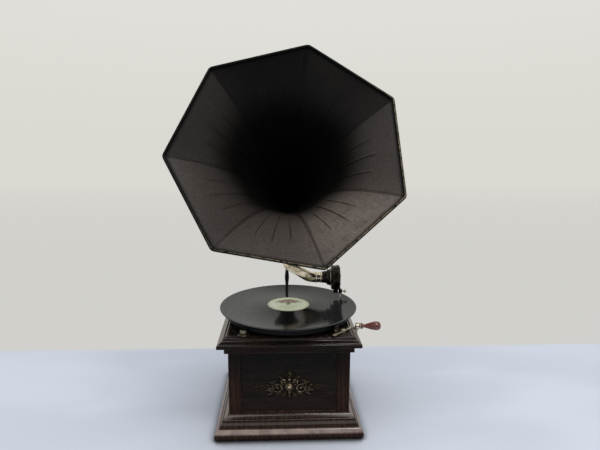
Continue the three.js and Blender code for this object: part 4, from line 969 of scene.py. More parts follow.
def label_finish():
    """Pale green paper, printed in red brown."""
    finish, tree, shader = new_finish("green label paper")
    place = object_place(tree)
    x, y, _ = parts_of(place)
    fan_y = y - mm(6)
    reach = distance(x, fan_y)
    fibres = noise(place, 600.0, 5.0, 0.7)
    stain = noise(place, 60.0, 5.0, 0.6)
    colour = blend(step_between(stain, 0.35, 0.7), shade(226, 238, 196), shade(242, 246, 216))
    glow = step_between(reach, mm(21), mm(15)) * step_between(fan_y, 0, mm(4))
    colour = over(colour, glow * 0.75, 232, 206, 184)
    worn = label_ink(place, x, y, fan_y, reach) * step_between(fibres, 0.28, 0.5)
    colour = over(colour, worn * 0.85, 112, 50, 38)
    set_shader(shader, Base_Color=colour, Roughness=0.62, Normal=raised(fibres, 0.2, 0.1))
    return finish


def redwood_finish():
    """Turned and polished red-brown wood, its grain along the grip."""
    finish, tree, shader = new_finish("polished redwood")
    grain = use(tree, oak_grain, Place=along_grain(tree, "x", (0.11, 0.2, 0)), Dark=shade(64, 22, 14),
                Light=shade(138, 58, 38), Pores=0.4)
    edges = use(tree, worn_edges, Radius=0.001, Depth=0.004, Breakup=120.0)
    # Painted shade: the grip darker in its recesses.
    set_shader(shader, Base_Color=over(grain["Colour"], edges["Recess"] * 0.6, 26, 10, 6),
               Roughness=grain["Gloss"] + 0.26, Coat_Weight=0.8, Coat_Roughness=0.08,
               Normal=raised(grain["Height"], 0.12, 0.2))
    return finish


def mica_finish():
    """Clear yellowish mica in thin leaves."""
    finish, tree, shader = new_finish("mica")
    leaves = noise(stretched(object_place(tree), 20, 160, 60), 1.0, 4.0, 0.6, 1.2)
    colour = blend(step_between(leaves, 0.35, 0.65), shade(186, 172, 138), shade(214, 206, 182))
    set_shader(shader, Base_Color=colour, Roughness=leaves * 0.15 + 0.12, Alpha=leaves * 0.25 + 0.55,
               Coat_Weight=0.6, Coat_Roughness=0.06, Normal=raised(leaves, 0.15, 0.2))
    return finish


def soft_finish(name, dark, fair, scale, rough):
    """Leather or rubber with a fine pebbled surface."""
    finish, tree, shader = new_finish(name)
    place = object_place(tree)
    cells = put(tree, "ShaderNodeTexVoronoi", {"Vector": place, "Scale": scale}, "Distance")
    patch = step_between(noise(place, scale * 0.2, 4.0), 0.35, 0.65)
    set_shader(shader, Base_Color=blend(patch, dark, fair), Roughness=cells * 0.1 + rough, Specular_IOR_Level=0.2,
               Normal=raised(cells, 0.4, 0.2))
    return finish


make_camera()
make_world()
make_lamps()
make_floor()

post_oak = varnished_oak("varnished oak post", "z", shade(22, 14, 10), shade(56, 36, 25), gloss=0.3)
front_oak = varnished_oak("varnished oak front", "x", shade(17, 12, 10), shade(43, 32, 25), (0.2, 0.07, 0), 0.3)
side_oak = varnished_oak("varnished oak side", "y", shade(20, 14, 11), shade(48, 35, 27), (0.4, 0.1, 0), 0.4)
# Painted shade: the cornice is a darker copy of the oak, partly its own tone, partly the shade under the record.
shaded_cornice_oak = varnished_oak("shaded varnished oak cornice", "frame", shade(12, 8, 6), shade(40, 26, 19), gloss=0.42)
# Painted light: the plinth is a lighter copy of the oak, partly wear and dust, partly the light from the cloth
# falling on it.
lit_plinth_oak = varnished_oak("lit varnished oak plinth", "frame", shade(22, 14, 11), shade(62, 41, 31), (0.3, 0.1, 0.2),
                           gloss=0.6, crest_highlight=0.66, coat_ior=1.6)
# Painted shade: the deck is a darker copy of the oak, for the shade under the record.
shaded_deck_oak = varnished_oak("shaded varnished oak deck", "x", shade(12, 8, 7), shade(38, 25, 18), (0.1, 0.3, 0), 0.4)
inside_oak = raw_oak()
bell_lacquer = horn_lacquer("horn lacquer", shade(5, 5, 5), shade(13, 12, 10), shade(102, 93, 87), 0.42)
elbow_lacquer = elbow_finish()
nickel = old_metal("worn nickel", shade(206, 196, 176), shade(142, 126, 88), 0.2)
# Partly tarnish, partly painted shade: a darker copy of the nickel for the speed knob and plate, which lie in shadow.
dull_shaded_nickel = old_metal("dull shaded nickel", shade(150, 141, 122), shade(66, 57, 42), 0.26)
dark_nickel = old_metal("blackened nickel", shade(64, 59, 51), shade(24, 22, 19), 0.28)
steel = old_metal("machined steel", shade(168, 168, 166), shade(112, 108, 102), 0.24, blotches=0.5)
brass = old_metal("machined brass", shade(204, 168, 98), shade(132, 98, 52), 0.24, blotches=0.6)
arm_nickel = old_metal("tarnished arm nickel", shade(222, 212, 188), shade(112, 96, 46), 0.18, scale=0.75)
iron = iron_finish()
gilt = gilt_finish()
felt = felt_finish()
shellac = shellac_finish()
label_paper = label_finish()
redwood = redwood_finish()
mica = mica_finish()
ebony = varnished_oak("ebonised slip", "z", shade(8, 8, 10), shade(22, 22, 27), gloss=0.2)
leather = soft_finish("brake leather", shade(34, 24, 18), shade(56, 40, 30), 900.0, 0.6)
rubber = soft_finish("black rubber", shade(20, 18, 17), shade(34, 31, 29), 1500.0, 0.5)
# Black enamel, made darker than the paint alone: partly painted shade under the record.
shaded_platter_black = soft_finish("shaded black platter enamel", shade(3, 3, 3), shade(7, 7, 8), 1200.0, 0.55)


# ---------------------------------------------------------------- case

base_outline = [
    (117, 0), (119.6, 0.7), (121.8, 2.8), (123.1, 6), (123.4, 9.2), (122.8, 12.8), (121, 16.2), (118.2, 18.9),
    (115.4, 20), (115.4, 20), (115, 21.2), (115, 21.2), (114.6, 23.4), (113.4, 25.8), (112, 27.8), (110.8, 29),
    (110.8, 29), (111.7, 29.7), (112.1, 30.9), (111.7, 32.1), (110.8, 32.7), (110.8, 32.7),
    (109, 33), (109, 33), (107.6, 33.9), (105.4, 35.4), (103.6, 36.8), (103.6, 36.8), (102.6, 38),
]
cornice_outline = [
    (104.5, 146.8), (106.8, 147.1), (107.3, 148), (106.9, 149), (106.9, 149), (106.9, 153.2), (106.9, 153.2),
    (107.6, 154.6), (109.8, 156.2), (112.6, 157.4), (115, 158), (115, 158), (116.4, 158.4), (117.6, 159.6),
    (118, 161.4), (117.8, 163.4), (117, 164.9), (115.8, 165.6), (115.8, 165.6), (115.1, 166.3), (115.1, 166.3),
    (113, 167.6), (110.4, 169.4), (109, 171.2), (108.6, 172.6), (108.6, 172.6), (107.9, 173.6), (106.4, 174.2),
    (105.2, 173.9), (105.2, 173.9), (104.4, 174.6), (103, 175.7), (101.4, 176),
]


def oak_plinth():
    piece = moulding([(inner_half, 0), *smooth_line(base_outline, 3), (inner_half, base_height)])
    round_edges(piece, 0.7, 2, 60)
    finished(piece, "oak_plinth", "case", lit_plinth_oak, "oak", "base_plinth")


def oak_cornice():
    rebate = deck_half + 0.3
    piece = moulding([(inner_half, cornice_bottom), (body_half + 0.1, cornice_bottom), (body_half + 0.1, 147),
                      *smooth_line(cornice_outline, 3), (rebate, deck_top), (rebate, deck_bottom),
                      (inner_half, deck_bottom)])
    round_edges(piece, 0.6, 2, 60)
    finished(piece, "oak_cornice", "case", shaded_cornice_oak, "oak", "top_moulding")


post_shares = smooth_line([
    (0.94, 0), (0.94, 0), (0.985, 0.03), (1, 0.07), (1, 0.07), (1, 0.76), (1, 0.76), (0.975, 0.775),
    (0.97, 0.795), (0.985, 0.815), (0.985, 0.815), (0.998, 0.85), (0.995, 0.9), (0.98, 0.945), (0.958, 0.958),
], 3)


def oak_posts():
    """Corner posts with a reeded corner between two fine grooves on each face."""
    face = [(x * post_width, y * post_width) for x, y in post_shares]
    mirrored = [(y, x) for x, y in reversed(face)]
    post = board([(0, 0), *face, *mirrored[1:]], base_height, cornice_bottom,
                 shifted(body_half - post_width, body_half - post_width, 0))
    names = ("back_right", "back_left", "front_left", "front_right")
    posts = [post, *[copied(post, about("Z", turn * quarter)) for turn in (1, 2, 3)]]
    for piece, name in zip(posts, names):
        finished(piece, f"oak_post_{name}", "case", post_oak, "oak", f"corner_post_{name}", angle=40)


def oak_panels():
    """Side panels with a proud top rail, a fine scratch bead round the field and a slip along the plinth."""
    half = body_half - post_width
    proud = panel_face - 0.3 + 4
    foot = cornice_bottom - rail_height
    section = [(-inner_half, base_height), (-inner_half, cornice_bottom), (-proud, cornice_bottom),
               (-proud, foot + 2.6), (-proud + 0.5, foot + 1.6), (-proud + 1.3, foot + 1), (-panel_face - 0.8, foot),
               (-panel_face, foot - 0.6), (-panel_face, base_height + 1.6), (-panel_face - 0.8, base_height + 1.4),
               (-panel_face - 1.2, base_height + 0.8), (-panel_face - 1.2, base_height)]
    panel = board(section, -half, half, about("Z", quarter) @ to_front)
    sides = (("front", 0, front_oak), ("right", 1, side_oak), ("back", 2, front_oak), ("left", 3, side_oak))
    slips = panel_slips()
    for name, turn, finish in sides:
        piece = copied(panel, about("Z", turn * quarter))
        edging = copied(slips, about("Z", turn * quarter))
        if name == "right":
            piece = with_hole(piece)
        finished(piece, f"oak_panel_{name}", "case", finish, "oak", f"{name}_panel", angle=28)
        finished(edging, f"oak_slips_{name}", "case", ebony, "oak")
    discard(panel, slips)


def panel_slips():
    """Thin rounded slips where a panel meets its posts."""
    half = body_half - post_width
    section = [(0, 0), (-1.6, 0), (-1.6, -0.4), (-1.3, -0.8), (-0.7, -1), (0, -1)]
    slips = []
    for side in (1, -1):
        slip = board([(side * (half + x), -panel_face + y) for x, y in section], base_height + 1, cornice_bottom - 7)
        slips.append(slip)
    return joined(*slips)


crank_hole = shifted(0, crank_y, crank_z)


def with_hole(panel):
    """Bores the panel for the winding shaft."""
    drill = turned([(0, 80), (9, 80), (9, 110), (0, 110)], 40, crank_hole @ to_right)
    return cut_away(panel, drill)


# ---------------------------------------------------------------- ornament

def spiral(x, z, start, end, from_angle, turn, depth, steps=18):
    """Points of a scroll round a centre, from one radius to another."""
    points = []
    for k in range(steps + 1):
        share = k / steps
        angle = math.radians(from_angle + turn * share)
        radius = start + (end - start) * share
        points.append(place_of(x + radius * math.cos(angle), -depth, z + radius * math.sin(angle)))
    return points


def stroke(points, thick, thin):
    """A scroll's stem: thin at its ends and full between them."""
    count = len(points) - 1
    radii = [thin + (thick - thin) * math.sin(math.pi * (0.12 + 0.8 * i / count)) for i in range(count + 1)]
    return rod_along(points, radii, sides=2)


def leaf(base, tip, width, curl, rise, depth):
    """A leaf with a raised rib, bent sideways by curl."""
    base, tip = Vector(base), Vector(tip)
    run = tip - base
    side = Vector((-run.y, run.x)).normalized()
    rings = []
    for k in range(9):
        share = k / 8
        middle = base + run * share + side * curl * math.sin(math.pi * share)
        half = max(0.12, width * math.sin(math.pi * min(1, 0.12 + 0.88 * share) ** 0.9) ** 0.8)
        high = rise * (0.35 + 0.65 * math.sin(math.pi * (0.15 + 0.8 * share)))
        section = ((-1, 0), (-0.55, 0.45), (-0.12, 0.6), (0, 1), (0.12, 0.6), (0.55, 0.45), (1, 0), (0, -0.3))
        rings.append([place_of(middle.x + side.x * a * half, -depth - b * high, middle.y + side.y * a * half)
                      for a, b in section])
    return lofted(rings)


def bead(x, z, radius, depth):
    piece = turned([(radius, 0), (radius * 0.94, radius * 0.4), (radius * 0.7, radius * 0.75),
                    (radius * 0.35, radius * 0.95), (0, radius)], 12)
    return settle(piece, shifted(x, -depth, z) @ to_front)


def ornament_half(side):
    """One half of the ornament: scrolls, leaves and a spray, from the middle outward."""
    back = ornament_back
    parts = [
        stroke(spiral(side * 19.0, 82.5, 9.0, 4.4, 150 if side < 0 else 30, -side * 400, back + 0.5), 1.35, 0.5),
        stroke(spiral(side * 31.0, 81.0, 5.8, 2.4, 90, side * 400, back + 0.2), 1.15, 0.4),
        stroke(spiral(side * 9.0, 93.5, 5.6, 1.5, -90, side * 380, back + 0.8), 1.2, 0.4),
        stroke(spiral(side * 23.5, 93.0, 4.4, 1.2, -150 if side > 0 else -30, side * 330, back + 0.1), 1.0, 0.35),
        stroke(spiral(side * 9.5, 71.5, 4.6, 1.2, 60 if side > 0 else 120, -side * 340, back), 1.0, 0.35),
    ]
    tips = [
        ((6, 88), (17, 97), 2.4, 1.4), ((11, 97), (21, 103), 2.0, 1.2), ((24, 86), (35, 93), 2.2, 1.6),
        ((33, 84), (41, 88), 1.9, 1.2), ((34, 80), (42, 78), 1.9, -1.2), ((27, 75), (37, 71), 1.9, -1.6),
        ((13, 75), (24, 70), 2.0, -1.4), ((5, 76), (14, 66), 1.8, -1.2), ((3, 99), (10, 107), 2.0, 1.4),
        ((17, 87), (27, 88), 1.7, 1.0), ((4, 71), (8, 64), 1.5, -0.8),
    ]
    parts += [leaf((side * a, b), (side * c, d), width, side * curl, 2.6, back - 0.4)
              for (a, b), (c, d), width, curl in tips]
    sprays = [((40, 83), (51, 86), 1.5, 0.8), ((43, 82), (53, 79.5), 1.3, -0.8), ((49, 84), (58, 88), 1.3, 0.9),
              ((51, 82), (61, 83.5), 1.3, 0.6), ((50, 80.5), (57, 76.5), 1.2, -0.8), ((58, 83), (64.5, 85), 1.0, 0.5)]
    parts += [leaf((side * a, b), (side * c, d), width, side * curl, 1.5, back - 0.6)
              for (a, b), (c, d), width, curl in sprays]
    parts.append(stroke([place_of(side * x, -back + 0.4, z) for x, z in
                         ((36, 82.5), (42, 82), (48, 82.4), (54, 82.8), (60, 83.6))], 0.8, 0.3))
    parts += [bead(side * 19, 82.5, 2.3, back), bead(side * 31, 81, 1.7, back), bead(side * 9, 93.5, 1.5, back),
              bead(side * 38.5, 83, 1.2, back - 0.4), bead(side * 14, 101.5, 1.0, back - 0.3)]
    return parts


def ornament():
    back = ornament_back
    cartouche = turned([(0, 0), (6.4, 0), (6.9, 1.2), (6.2, 2.4), (5.0, 2.2), (4.6, 1.6), (3.8, 2.6), (2.2, 3.7),
                        (0, 4.2)], 28, shifted(0, -back + 0.8, 84.5) @ Matrix.Diagonal((1, 1, 1.22, 1)) @ to_front)
    crown = [leaf((0, 96), (0, 113.5), 3.0, 0, 3.2, back), bead(0, 97.5, 2.2, back + 0.8)]
    crown += [leaf((side * 1.5, 97), (side * 6.4, 111), 2.1, side * 1.2, 2.8, back - 0.2) for side in (1, -1)]
    crown += [leaf((side * 1.5, 96), (side * 11.5, 104.5), 1.9, side * 1.6, 2.4, back - 0.4) for side in (1, -1)]
    pendant = [leaf((0, 75), (0, 62.5), 2.4, 0, 2.6, back), bead(0, 74.5, 1.7, back + 0.4)]
    pendant += [leaf((side * 1, 74), (side * 5, 65.5), 1.6, -side * 1.0, 2.2, back - 0.3) for side in (1, -1)]
    piece = joined(cartouche, *crown, *pendant, *ornament_half(1), *ornament_half(-1))
    finished(piece, "gilt_scrolls", "case", gilt, "gilt", "front_ornament", angle=55)


# ---------------------------------------------------------------- turntable

def turntable():
    dish = turned([
        (plate_bore, platter_bottom), (12, platter_bottom), (12, 188.2), (112.8, 188.2), (112.8, 181), (114.4, 181),
        (115, 181.6), (115, 183.2), (114.4, 183.8), (114.4, 187), (115, 187.6), (115, 189.6), (114.2, 190.4),
        (plate_bore, 190.4), (plate_bore, platter_bottom)], 128)
    finished(dish, "platter_dish", "turntable", shaded_platter_black, "steel", "platter")
    mat = turned([(plate_bore, felt_bottom), (113.2, felt_bottom), (113.5, 190.9), (113.5, 191.8), (113, 192.15),
                  (plate_bore, 192.15), (plate_bore, felt_bottom)], 128)
    finished(mat, "felt_mat", "turntable", felt, "felt", "turntable_felt")
    disc = turned([
        (3.8, record_bottom), (124, record_bottom), (124.7, 192.5), (125, 193), (125, 193.7), (124.7, 194.1),
        (123.8, 194.35), (121.4, 194.4), (121, 194.3), (44.5, 194.3), (43.8, 194.4), (39.2, 194.4),
        (38.8, 194.25), (3.8, 194.25), (3.8, record_bottom)], 160)
    finished(disc, "record_disc", "turntable", shellac, "shellac", "record", angle=20)
    paper = turned([(plate_bore, label_bottom), (37.9, label_bottom), (38.2, 194.4), (38.0, 194.5), (5, 194.52),
                    (4.2, 194.45), (plate_bore, label_bottom)], 96)
    finished(paper, "label_disc", "turntable", label_paper, "label_paper", "record_label")
    pin = turned([(3.4, 194.0), (3.45, 197.2), (3.2, 198.2), (2.4, 199.0), (1.3, 199.35), (0, 199.4)], 32)
    cap = turned([(3.5, 190), (3.5, 195)], 32)
    finished(joined(pin, cap), "spindle_nose", "turntable", nickel, "nickel")


# ---------------------------------------------------------------- horn

facing = Vector((0, -math.cos(horn_rise), math.sin(horn_rise)))
lean = Vector((0, math.sin(horn_rise), math.cos(horn_rise)))
sideways = Vector((1, 0, 0))
throat_at = (Vector((0, -elbow_bend_radius * (1 - math.sin(horn_rise)),
                     elbow_bend_z + elbow_bend_radius * math.cos(horn_rise))) + facing * 4.3)
mouth_at = throat_at + facing * horn_length
horn_place = shifted(0, pivot_y, 0) @ about("Z", horn_turn)
flare = mouth_radius - throat_radius - cone_slope * horn_length

# Pressed flutes of a petal: where it lies across, from and to how far behind the rim, and its height.
flutes = ((0.27, 26, 92, 0.8), (0.5, 18, 112, 1.1), (0.73, 26, 92, 0.8))
flute_half = 0.012


def eased_step(value, low, high):
    share = min(1.0, max(0.0, (value - low) / (high - low)))
    return share * share * (3 - 2 * share)


def horn_radius(back):
    return throat_radius + cone_slope * (horn_length - back) + flare * math.exp(-back / flare_decay)


def petal_reach(share, back):
    """Distance of a petal from the axis as a share of the corner's, with the corners softened."""
    angle = (share - 0.5) * petal_span
    total = sum(max(0.0, math.cos(angle - turn * petal_span)) ** corner_softness for turn in (-1, 0, 1))
    edge = math.cos(petal_span / 2) * total ** (-1 / corner_softness)
    return 1 - (1 - edge) * math.exp(-max(0, back) / petal_decay)


def seam_distance(share, back):
    """How far a point lies from its petal's nearer seam."""
    return min(share, 1 - share) * 2 * horn_radius(back) * math.sin(petal_span / 2)


def bump_at(value, middle, width):
    """A smooth bump, 1 at its middle."""
    return math.exp(-((value - middle) / width) ** 2)


def crease_light_and_shade_at(share, back):
    """Painted shade along one flank of flutes and seams, up to 1, and painted highlights on their crests, down to -1.
    """
    seam = seam_distance(share, back)
    dark = 1.15 * bump_at(seam, 0.9, 0.9) - 0.3 * bump_at(seam, 0, 0.5)
    for middle, near, far, _ in flutes:
        if near < back < far:
            ends = min(1, 4 * math.sin(math.pi * (back - near) / (far - near)))
            across = (share - middle) / flute_half
            dark += ends * (1.15 * bump_at(across, 0.5, 0.45) - 0.35 * bump_at(across, -0.4, 0.4))
    return dark


def pressed(share, back):
    """How far flutes and seams stand into the horn."""
    rise = 0
    for middle, near, far, height in flutes:
        across = (share - middle) / flute_half
        if abs(across) < 1 and near < back < far:
            ends = min(1, 3 * math.sin(math.pi * (back - near) / (far - near)))
            rise += height * math.cos(across * quarter) ** 2 * ends
    return rise + 0.6 * bump_at(seam_distance(share, back), 0, 0.6)


def horn_point(back, petal, share, reach):
    angle = corner_turn + (petal + share) * petal_span
    point = mouth_at - facing * back + sideways * reach * math.sin(angle) + lean * reach * math.cos(angle)
    return horn_place @ (point / 1000)


def petal_columns():
    shares = {0, 0.002, 0.004, 0.006, 0.008, 0.012, 0.02, 0.05, 0.1, 0.15, 0.2, 0.235, 0.31, 0.35, 0.4, 0.45}
    for middle, *_ in flutes[:2]:
        shares |= {round(middle + flute_half * step, 4) for step in (-1, -0.66, -0.33, 0, 0.33, 0.66, 1)}
    shares |= {round(1 - share, 4) for share in shares if share > 0}
    return sorted(shares)


def horn_bell():
    """Seven petals of sheet in one skin, folded along the seams."""
    columns = [(petal, share) for petal in range(petal_count) for share in petal_columns()] + [(petal_count, 0)]
    rows = 84
    backs = [1.4 + (horn_length - 1.4) * (row / rows) ** 1.45 for row in range(rows + 1)]
    backs += [horn_length + 1.5, horn_length + 3.2, horn_length + 9]
    deselect()
    bpy.ops.mesh.primitive_grid_add(x_subdivisions=len(columns) - 1, y_subdivisions=len(backs) - 1)
    piece = bpy.context.object
    places = []
    for back in backs:
        for petal, share in columns:
            reach = horn_radius(back) * petal_reach(share, back) - pressed(share, back)
            reach = max(throat_least, reach - 2.1 * eased_step(back, horn_length - 18, horn_length + 4))
            places.extend(horn_point(back, petal, share, reach))
    piece.data.vertices.foreach_set("co", places)
    # Painted light and shade along the flutes and seams, kept on the mesh.
    mark = piece.data.attributes.new("crease_light_and_shade", "FLOAT", "POINT")
    mark.data.foreach_set("value", [crease_light_and_shade_at(share, back) for back in backs for _, share in columns])
    chart = piece.data.uv_layers[0]
    chart.name = "petals"
    for loop in piece.data.loops:
        row, column = divmod(loop.vertex_index, len(columns))
        petal, share = columns[column]
        chart.data[loop.index].uv = (petal + share, backs[row] / horn_length)
    tidy_mesh(piece)
    first = piece.data.polygons[0]
    centre = horn_place @ ((mouth_at - facing * backs[0]) / 1000)
    if first.normal.dot(first.center - centre) < 0:
        open_mesh(piece)
        bpy.ops.mesh.flip_normals()
        close_mesh()
    thicken(piece, sheet_thick)
    mark_inside(piece)
    petals = [f"horn_petal_{number + 1}" for number in range(petal_count)]
    finished(piece, "horn_bell", "horn", bell_lacquer, "horn_lacquer", *petals, angle=50)


# How pale each petal's inside is painted, as dust and as painted light where the light falls, from the top right one
# round, and how far in it reaches.
dust_and_light_shares = (0.06, 0.4, 0.95, 0.42, 0.33, 0.2, 0.0)
dust_and_light_depths = (0.3, 0.34, 0.6, 0.85, 0.5, 0.3, 0.25)


def dust_and_shade_at(petal, share, back):
    """Dust with painted light on a petal's inside, eased toward the next petal, and painted shade deep in the horn
    and at the mouth's inner edge.
    """
    beside = (petal + (1 if share > 0.5 else -1)) % petal_count
    toward = 0.32 * (2 * abs(share - 0.5)) ** 2
    thick = dust_and_light_shares[petal] + (dust_and_light_shares[beside] - dust_and_light_shares[petal]) * toward
    reach = dust_and_light_depths[petal] + (dust_and_light_depths[beside] - dust_and_light_depths[petal]) * (0.5 * (2 * abs(share - 0.5)) ** 2)
    deep = back / horn_length / reach
    return thick * eased_step(-deep, -1.0, -0.15), max(eased_step(deep, 0.3, 1.15), 0.7 * eased_step(-back, -5, -2))


def mark_inside(piece):
    """Marks the corners of both skins: dust with painted light, and painted shade, lie on the inner one, in the
    horn's own pattern.
    """
    chart = piece.data.uv_layers["petals"].data
    marks = [[], [], []]
    for face in piece.data.polygons:
        back = (mouth_at - horn_place.inverted() @ face.center * 1000).dot(facing)
        axis = horn_place @ ((mouth_at - facing * back) / 1000)
        inward = face.normal.dot(face.center - axis) < 0
        spots = [chart[corner].uv for corner in face.loop_indices]
        petal = int(sum(spot.x for spot in spots) / len(spots)) % petal_count
        for spot in spots:
            share = min(1.0, max(0.0, spot.x - petal))
            dust_and_light, painted_depth_shade = dust_and_shade_at(petal, share, spot.y * horn_length) if inward else (0, 0)
            for mark, value in zip(marks, (dust_and_light, painted_depth_shade, 0.0 if inward else 1.0)):
                mark.append(value)
    for name, mark in zip(("dust_and_light", "painted_depth_shade", "outside"), marks):
        piece.data.attributes.new(name, "FLOAT", "CORNER").data.foreach_set("value", mark)


def horn_rim():
    """The wired rim that follows the mouth."""
    points = []
    for petal in range(petal_count):
        for share in petal_columns():
            reach = (mouth_radius - 2.4) * petal_reach(share, 0)
            points.append(horn_point(0, petal, share, reach))
    piece = rod_along(points, [rim_radius] * len(points), endless=True, sides=3)
    finished(piece, "horn_rim", "horn", rim_lacquer, "horn_lacquer", angle=60)


def rim_finish():
    """The rim's lacquer, rubbed through to bright metal along its crest; the bright crest is kept to the lower side
    of the mouth, where the light falls, so it is partly a painted highlight.
    """
    finish, tree, shader = new_finish("rubbed and lit rim lacquer")
    place = object_place(tree)
    toward = about("Z", horn_turn).to_3x3() @ facing
    middle = horn_place @ (mouth_at / 1000)
    crest_highlight = along(surface_normal(tree), tuple(toward))
    away = put(tree, "ShaderNodeVectorMath", {0: place, 1: tuple(middle)}, operation="SUBTRACT")
    # Painted highlight over wear: the bright crest only on the lower side of the mouth, where the light falls.
    low = along(away, (0.6, 0.3, -0.74))
    rub = noise(place, 180.0, 5.0, 0.65)
    worn = step_between(crest_highlight, 0.86, 0.99) * step_between(rub, 0.36, 0.6) * step_between(low, -0.06, 0.12)
    set_shader(shader, Base_Color=blend(worn, shade(5, 5, 4), shade(112, 102, 84)), Metallic=worn * 0.8,
               Specular_IOR_Level=0.1, Roughness=rub * 0.15 + 0.32, Normal=raised(rub, 0.1, 0.3))
    return finish


rim_lacquer = rim_finish()


def horn_elbow():
    """Cast elbow with a flange on the ring and beads at both ends."""
    bend = elbow_bend_radius * math.tan((quarter - horn_rise) / 2)
    corner = Vector((0, 0, elbow_bend_z + bend))
    end = throat_at - facing * 0.3
    line = bent_line([Vector((0, 0, 276)), corner, end], [elbow_bend_radius], 14)
    stations = [((0, 0, 257.6), throat_least), ((0, 0, 268.2), throat_least),
                ((0, 0, 268.3), 22.3), ((0, 0, 268.8), 22.5),
                ((0, 0, 271), 22.5), ((0, 0, 271.5), 22.2), ((0, 0, 271.8), 20.2), ((0, 0, 272.6), 19.4),
                ((0, 0, 274), 18.8)]
    count = len(line) - 1
    stations += [(tuple(point), 18.5 + 1.9 * i / count) for i, point in enumerate(line)]
    points = [horn_place @ (Vector(point) / 1000) for point, _ in stations]
    piece = rod_along(points, [radius for _, radius in stations], sides=14, capped=False)
    tidy_mesh(piece)
    thicken(piece, 1.6)
    finished(piece, "cast_elbow", "horn", elbow_lacquer, "horn_lacquer", "horn_elbow", angle=40)


def horn_collar():
    ring = turned([(20.8, -2.8), (25.4, -2.8), (26.0, -2.3), (26.1, -1.2), (25.7, -0.4), (24.9, 0.1), (24.9, 4.0),
                   (25.7, 4.5), (26.1, 5.2), (26.0, 6.4), (25.4, 7), (23.6, 7), (22.4, 3), (21.4, 0.2), (20.8, -0.6),
                   (20.8, -2.8)], 72)
    matrix = horn_place @ shifted(*throat_at) @ about("X", quarter - horn_rise)
    settle(ring, matrix)
    heads = []
    for turn in range(6):
        head = turned([(1.7, 0), (1.6, 0.5), (1.1, 0.9), (0.5, 1.1), (0, 1.15)], 12,
                      matrix @ about("Z", turn * math.pi / 3) @ shifted(24.8, 0, 2) @ to_right)
        heads.append(head)
    finished(joined(ring, *heads), "throat_collar", "horn", elbow_lacquer, "horn_lacquer", "horn_collar")


# ---------------------------------------------------------------- bracket

def bracket_ring():
    ring = turned([
        (12.4, 246.4), (21.5, 246.4), (23.2, 246.9), (24.2, 248.2), (24.6, 250), (23.6, 250.8), (23.6, 251.6),
        (24.6, 252.3), (24.9, 254), (24.9, 260.5), (24.6, 262), (23.7, 262.7), (23.7, 263.5), (24.6, 264.2),
        (24.7, 266), (23.9, 267.4), (22.6, 268), (18.9, 268), (18.9, 254.4), (12.4, 254.4), (12.4, 246.4)],
        72, shifted(0, pivot_y, 0))
    boss = turned([(5.6, 22), (5.4, 25.4), (4.9, 26.2), (2.8, 26.4)], 24, shifted(0, pivot_y, clamp_z) @ to_right)
    return joined(ring, boss)


def bracket_arm():
    """Swept arm, broad at the foot, slender in the middle and broad again at the ring."""
    foot = mount_face + foot_thick
    knots = [Vector((0, foot - 3, 118)), Vector((0, 158, 110)), Vector((0, 167.6, 201.5)), Vector((0, 160, 257.2))]
    widths = [(0, 1), (0.25, 0.72), (0.45, 0.52), (0.6, 0.6), (0.7, 0.97), (0.8, 0.6), (0.92, 0.68), (1, 1)]
    rings = []
    for k in range(41):
        share = k / 40
        rest = 1 - share
        at = (knots[0] * rest ** 3 + knots[1] * 3 * rest * rest * share + knots[2] * 3 * rest * share * share
              + knots[3] * share ** 3)
        ahead = ((knots[1] - knots[0]) * rest * rest + (knots[2] - knots[1]) * 2 * rest * share
                 + (knots[3] - knots[2]) * share * share).normalized()
        out = sideways.cross(ahead)
        i = max(1, next(n for n, (place, _) in enumerate(widths) if place >= share))
        (p0, v0), (p1, v1) = widths[i - 1], widths[i]
        ease = (share - p0) / (p1 - p0)
        half = 5 * (v0 + (v1 - v0) * (3 - 2 * ease) * ease * ease)
        rings.append([(at + sideways * across + out * deep) / 1000
                      for across, deep in squarish(half, 7.8, 0.62, 0.62, 20)])
    return lofted(rings)


def bracket_foot():
    outline = [(x, bracket_foot_z + z) for x, z in squarish(20, 38, 0.55, 0.5, 48)]
    plate = round_edges(board(outline, 0, foot_thick), 1.1, 3, 50)
    settle(plate, shifted(0, mount_face, 0) @ about("Z", math.pi) @ to_front)
    rib = turned([(13, 0), (12.4, 1.4), (10.6, 2.6), (8.6, 3.2), (0, 3.6)], 40,
                 shifted(0, 103.2, 117) @ Matrix.Diagonal((1, 1, 1.5, 1)) @ to_back)
    return joined(plate, rib)


def bracket():
    piece = joined(bracket_ring(), bracket_arm(), bracket_foot())
    finished(piece, "iron_bracket", "case", iron, "cast_iron", "horn_bracket", angle=40)


def slotted_head(radius, high, slot):
    """Domed screw head with its slot."""
    head = turned([(radius, 0), (radius, high * 0.35), (radius * 0.9, high * 0.62), (radius * 0.66, high * 0.86),
                   (radius * 0.34, high * 0.97), (0, high)], 24)
    saw = board([(-radius * 2, -slot), (radius * 2, -slot), (radius * 2, slot), (-radius * 2, slot)], high * 0.55,
                high * 2)
    return cut_away(head, saw)


def bracket_screws():
    head = slotted_head(5.6, 3.1, 0.55)
    spots = [(side * 12.4, 66 + 76 * row) for row in (0.2, 0.8) for side in (-1, 1)]
    for number, (x, z) in enumerate(spots):
        spin = about("Z", math.radians(25 + 47 * number))
        screw = copied(head, shifted(x, 103.9, z) @ to_back @ spin)
        finished(screw, f"round_screw_{number + 1}", "case", steel, "steel", f"bracket_screw_{number + 1}")
    discard(head)


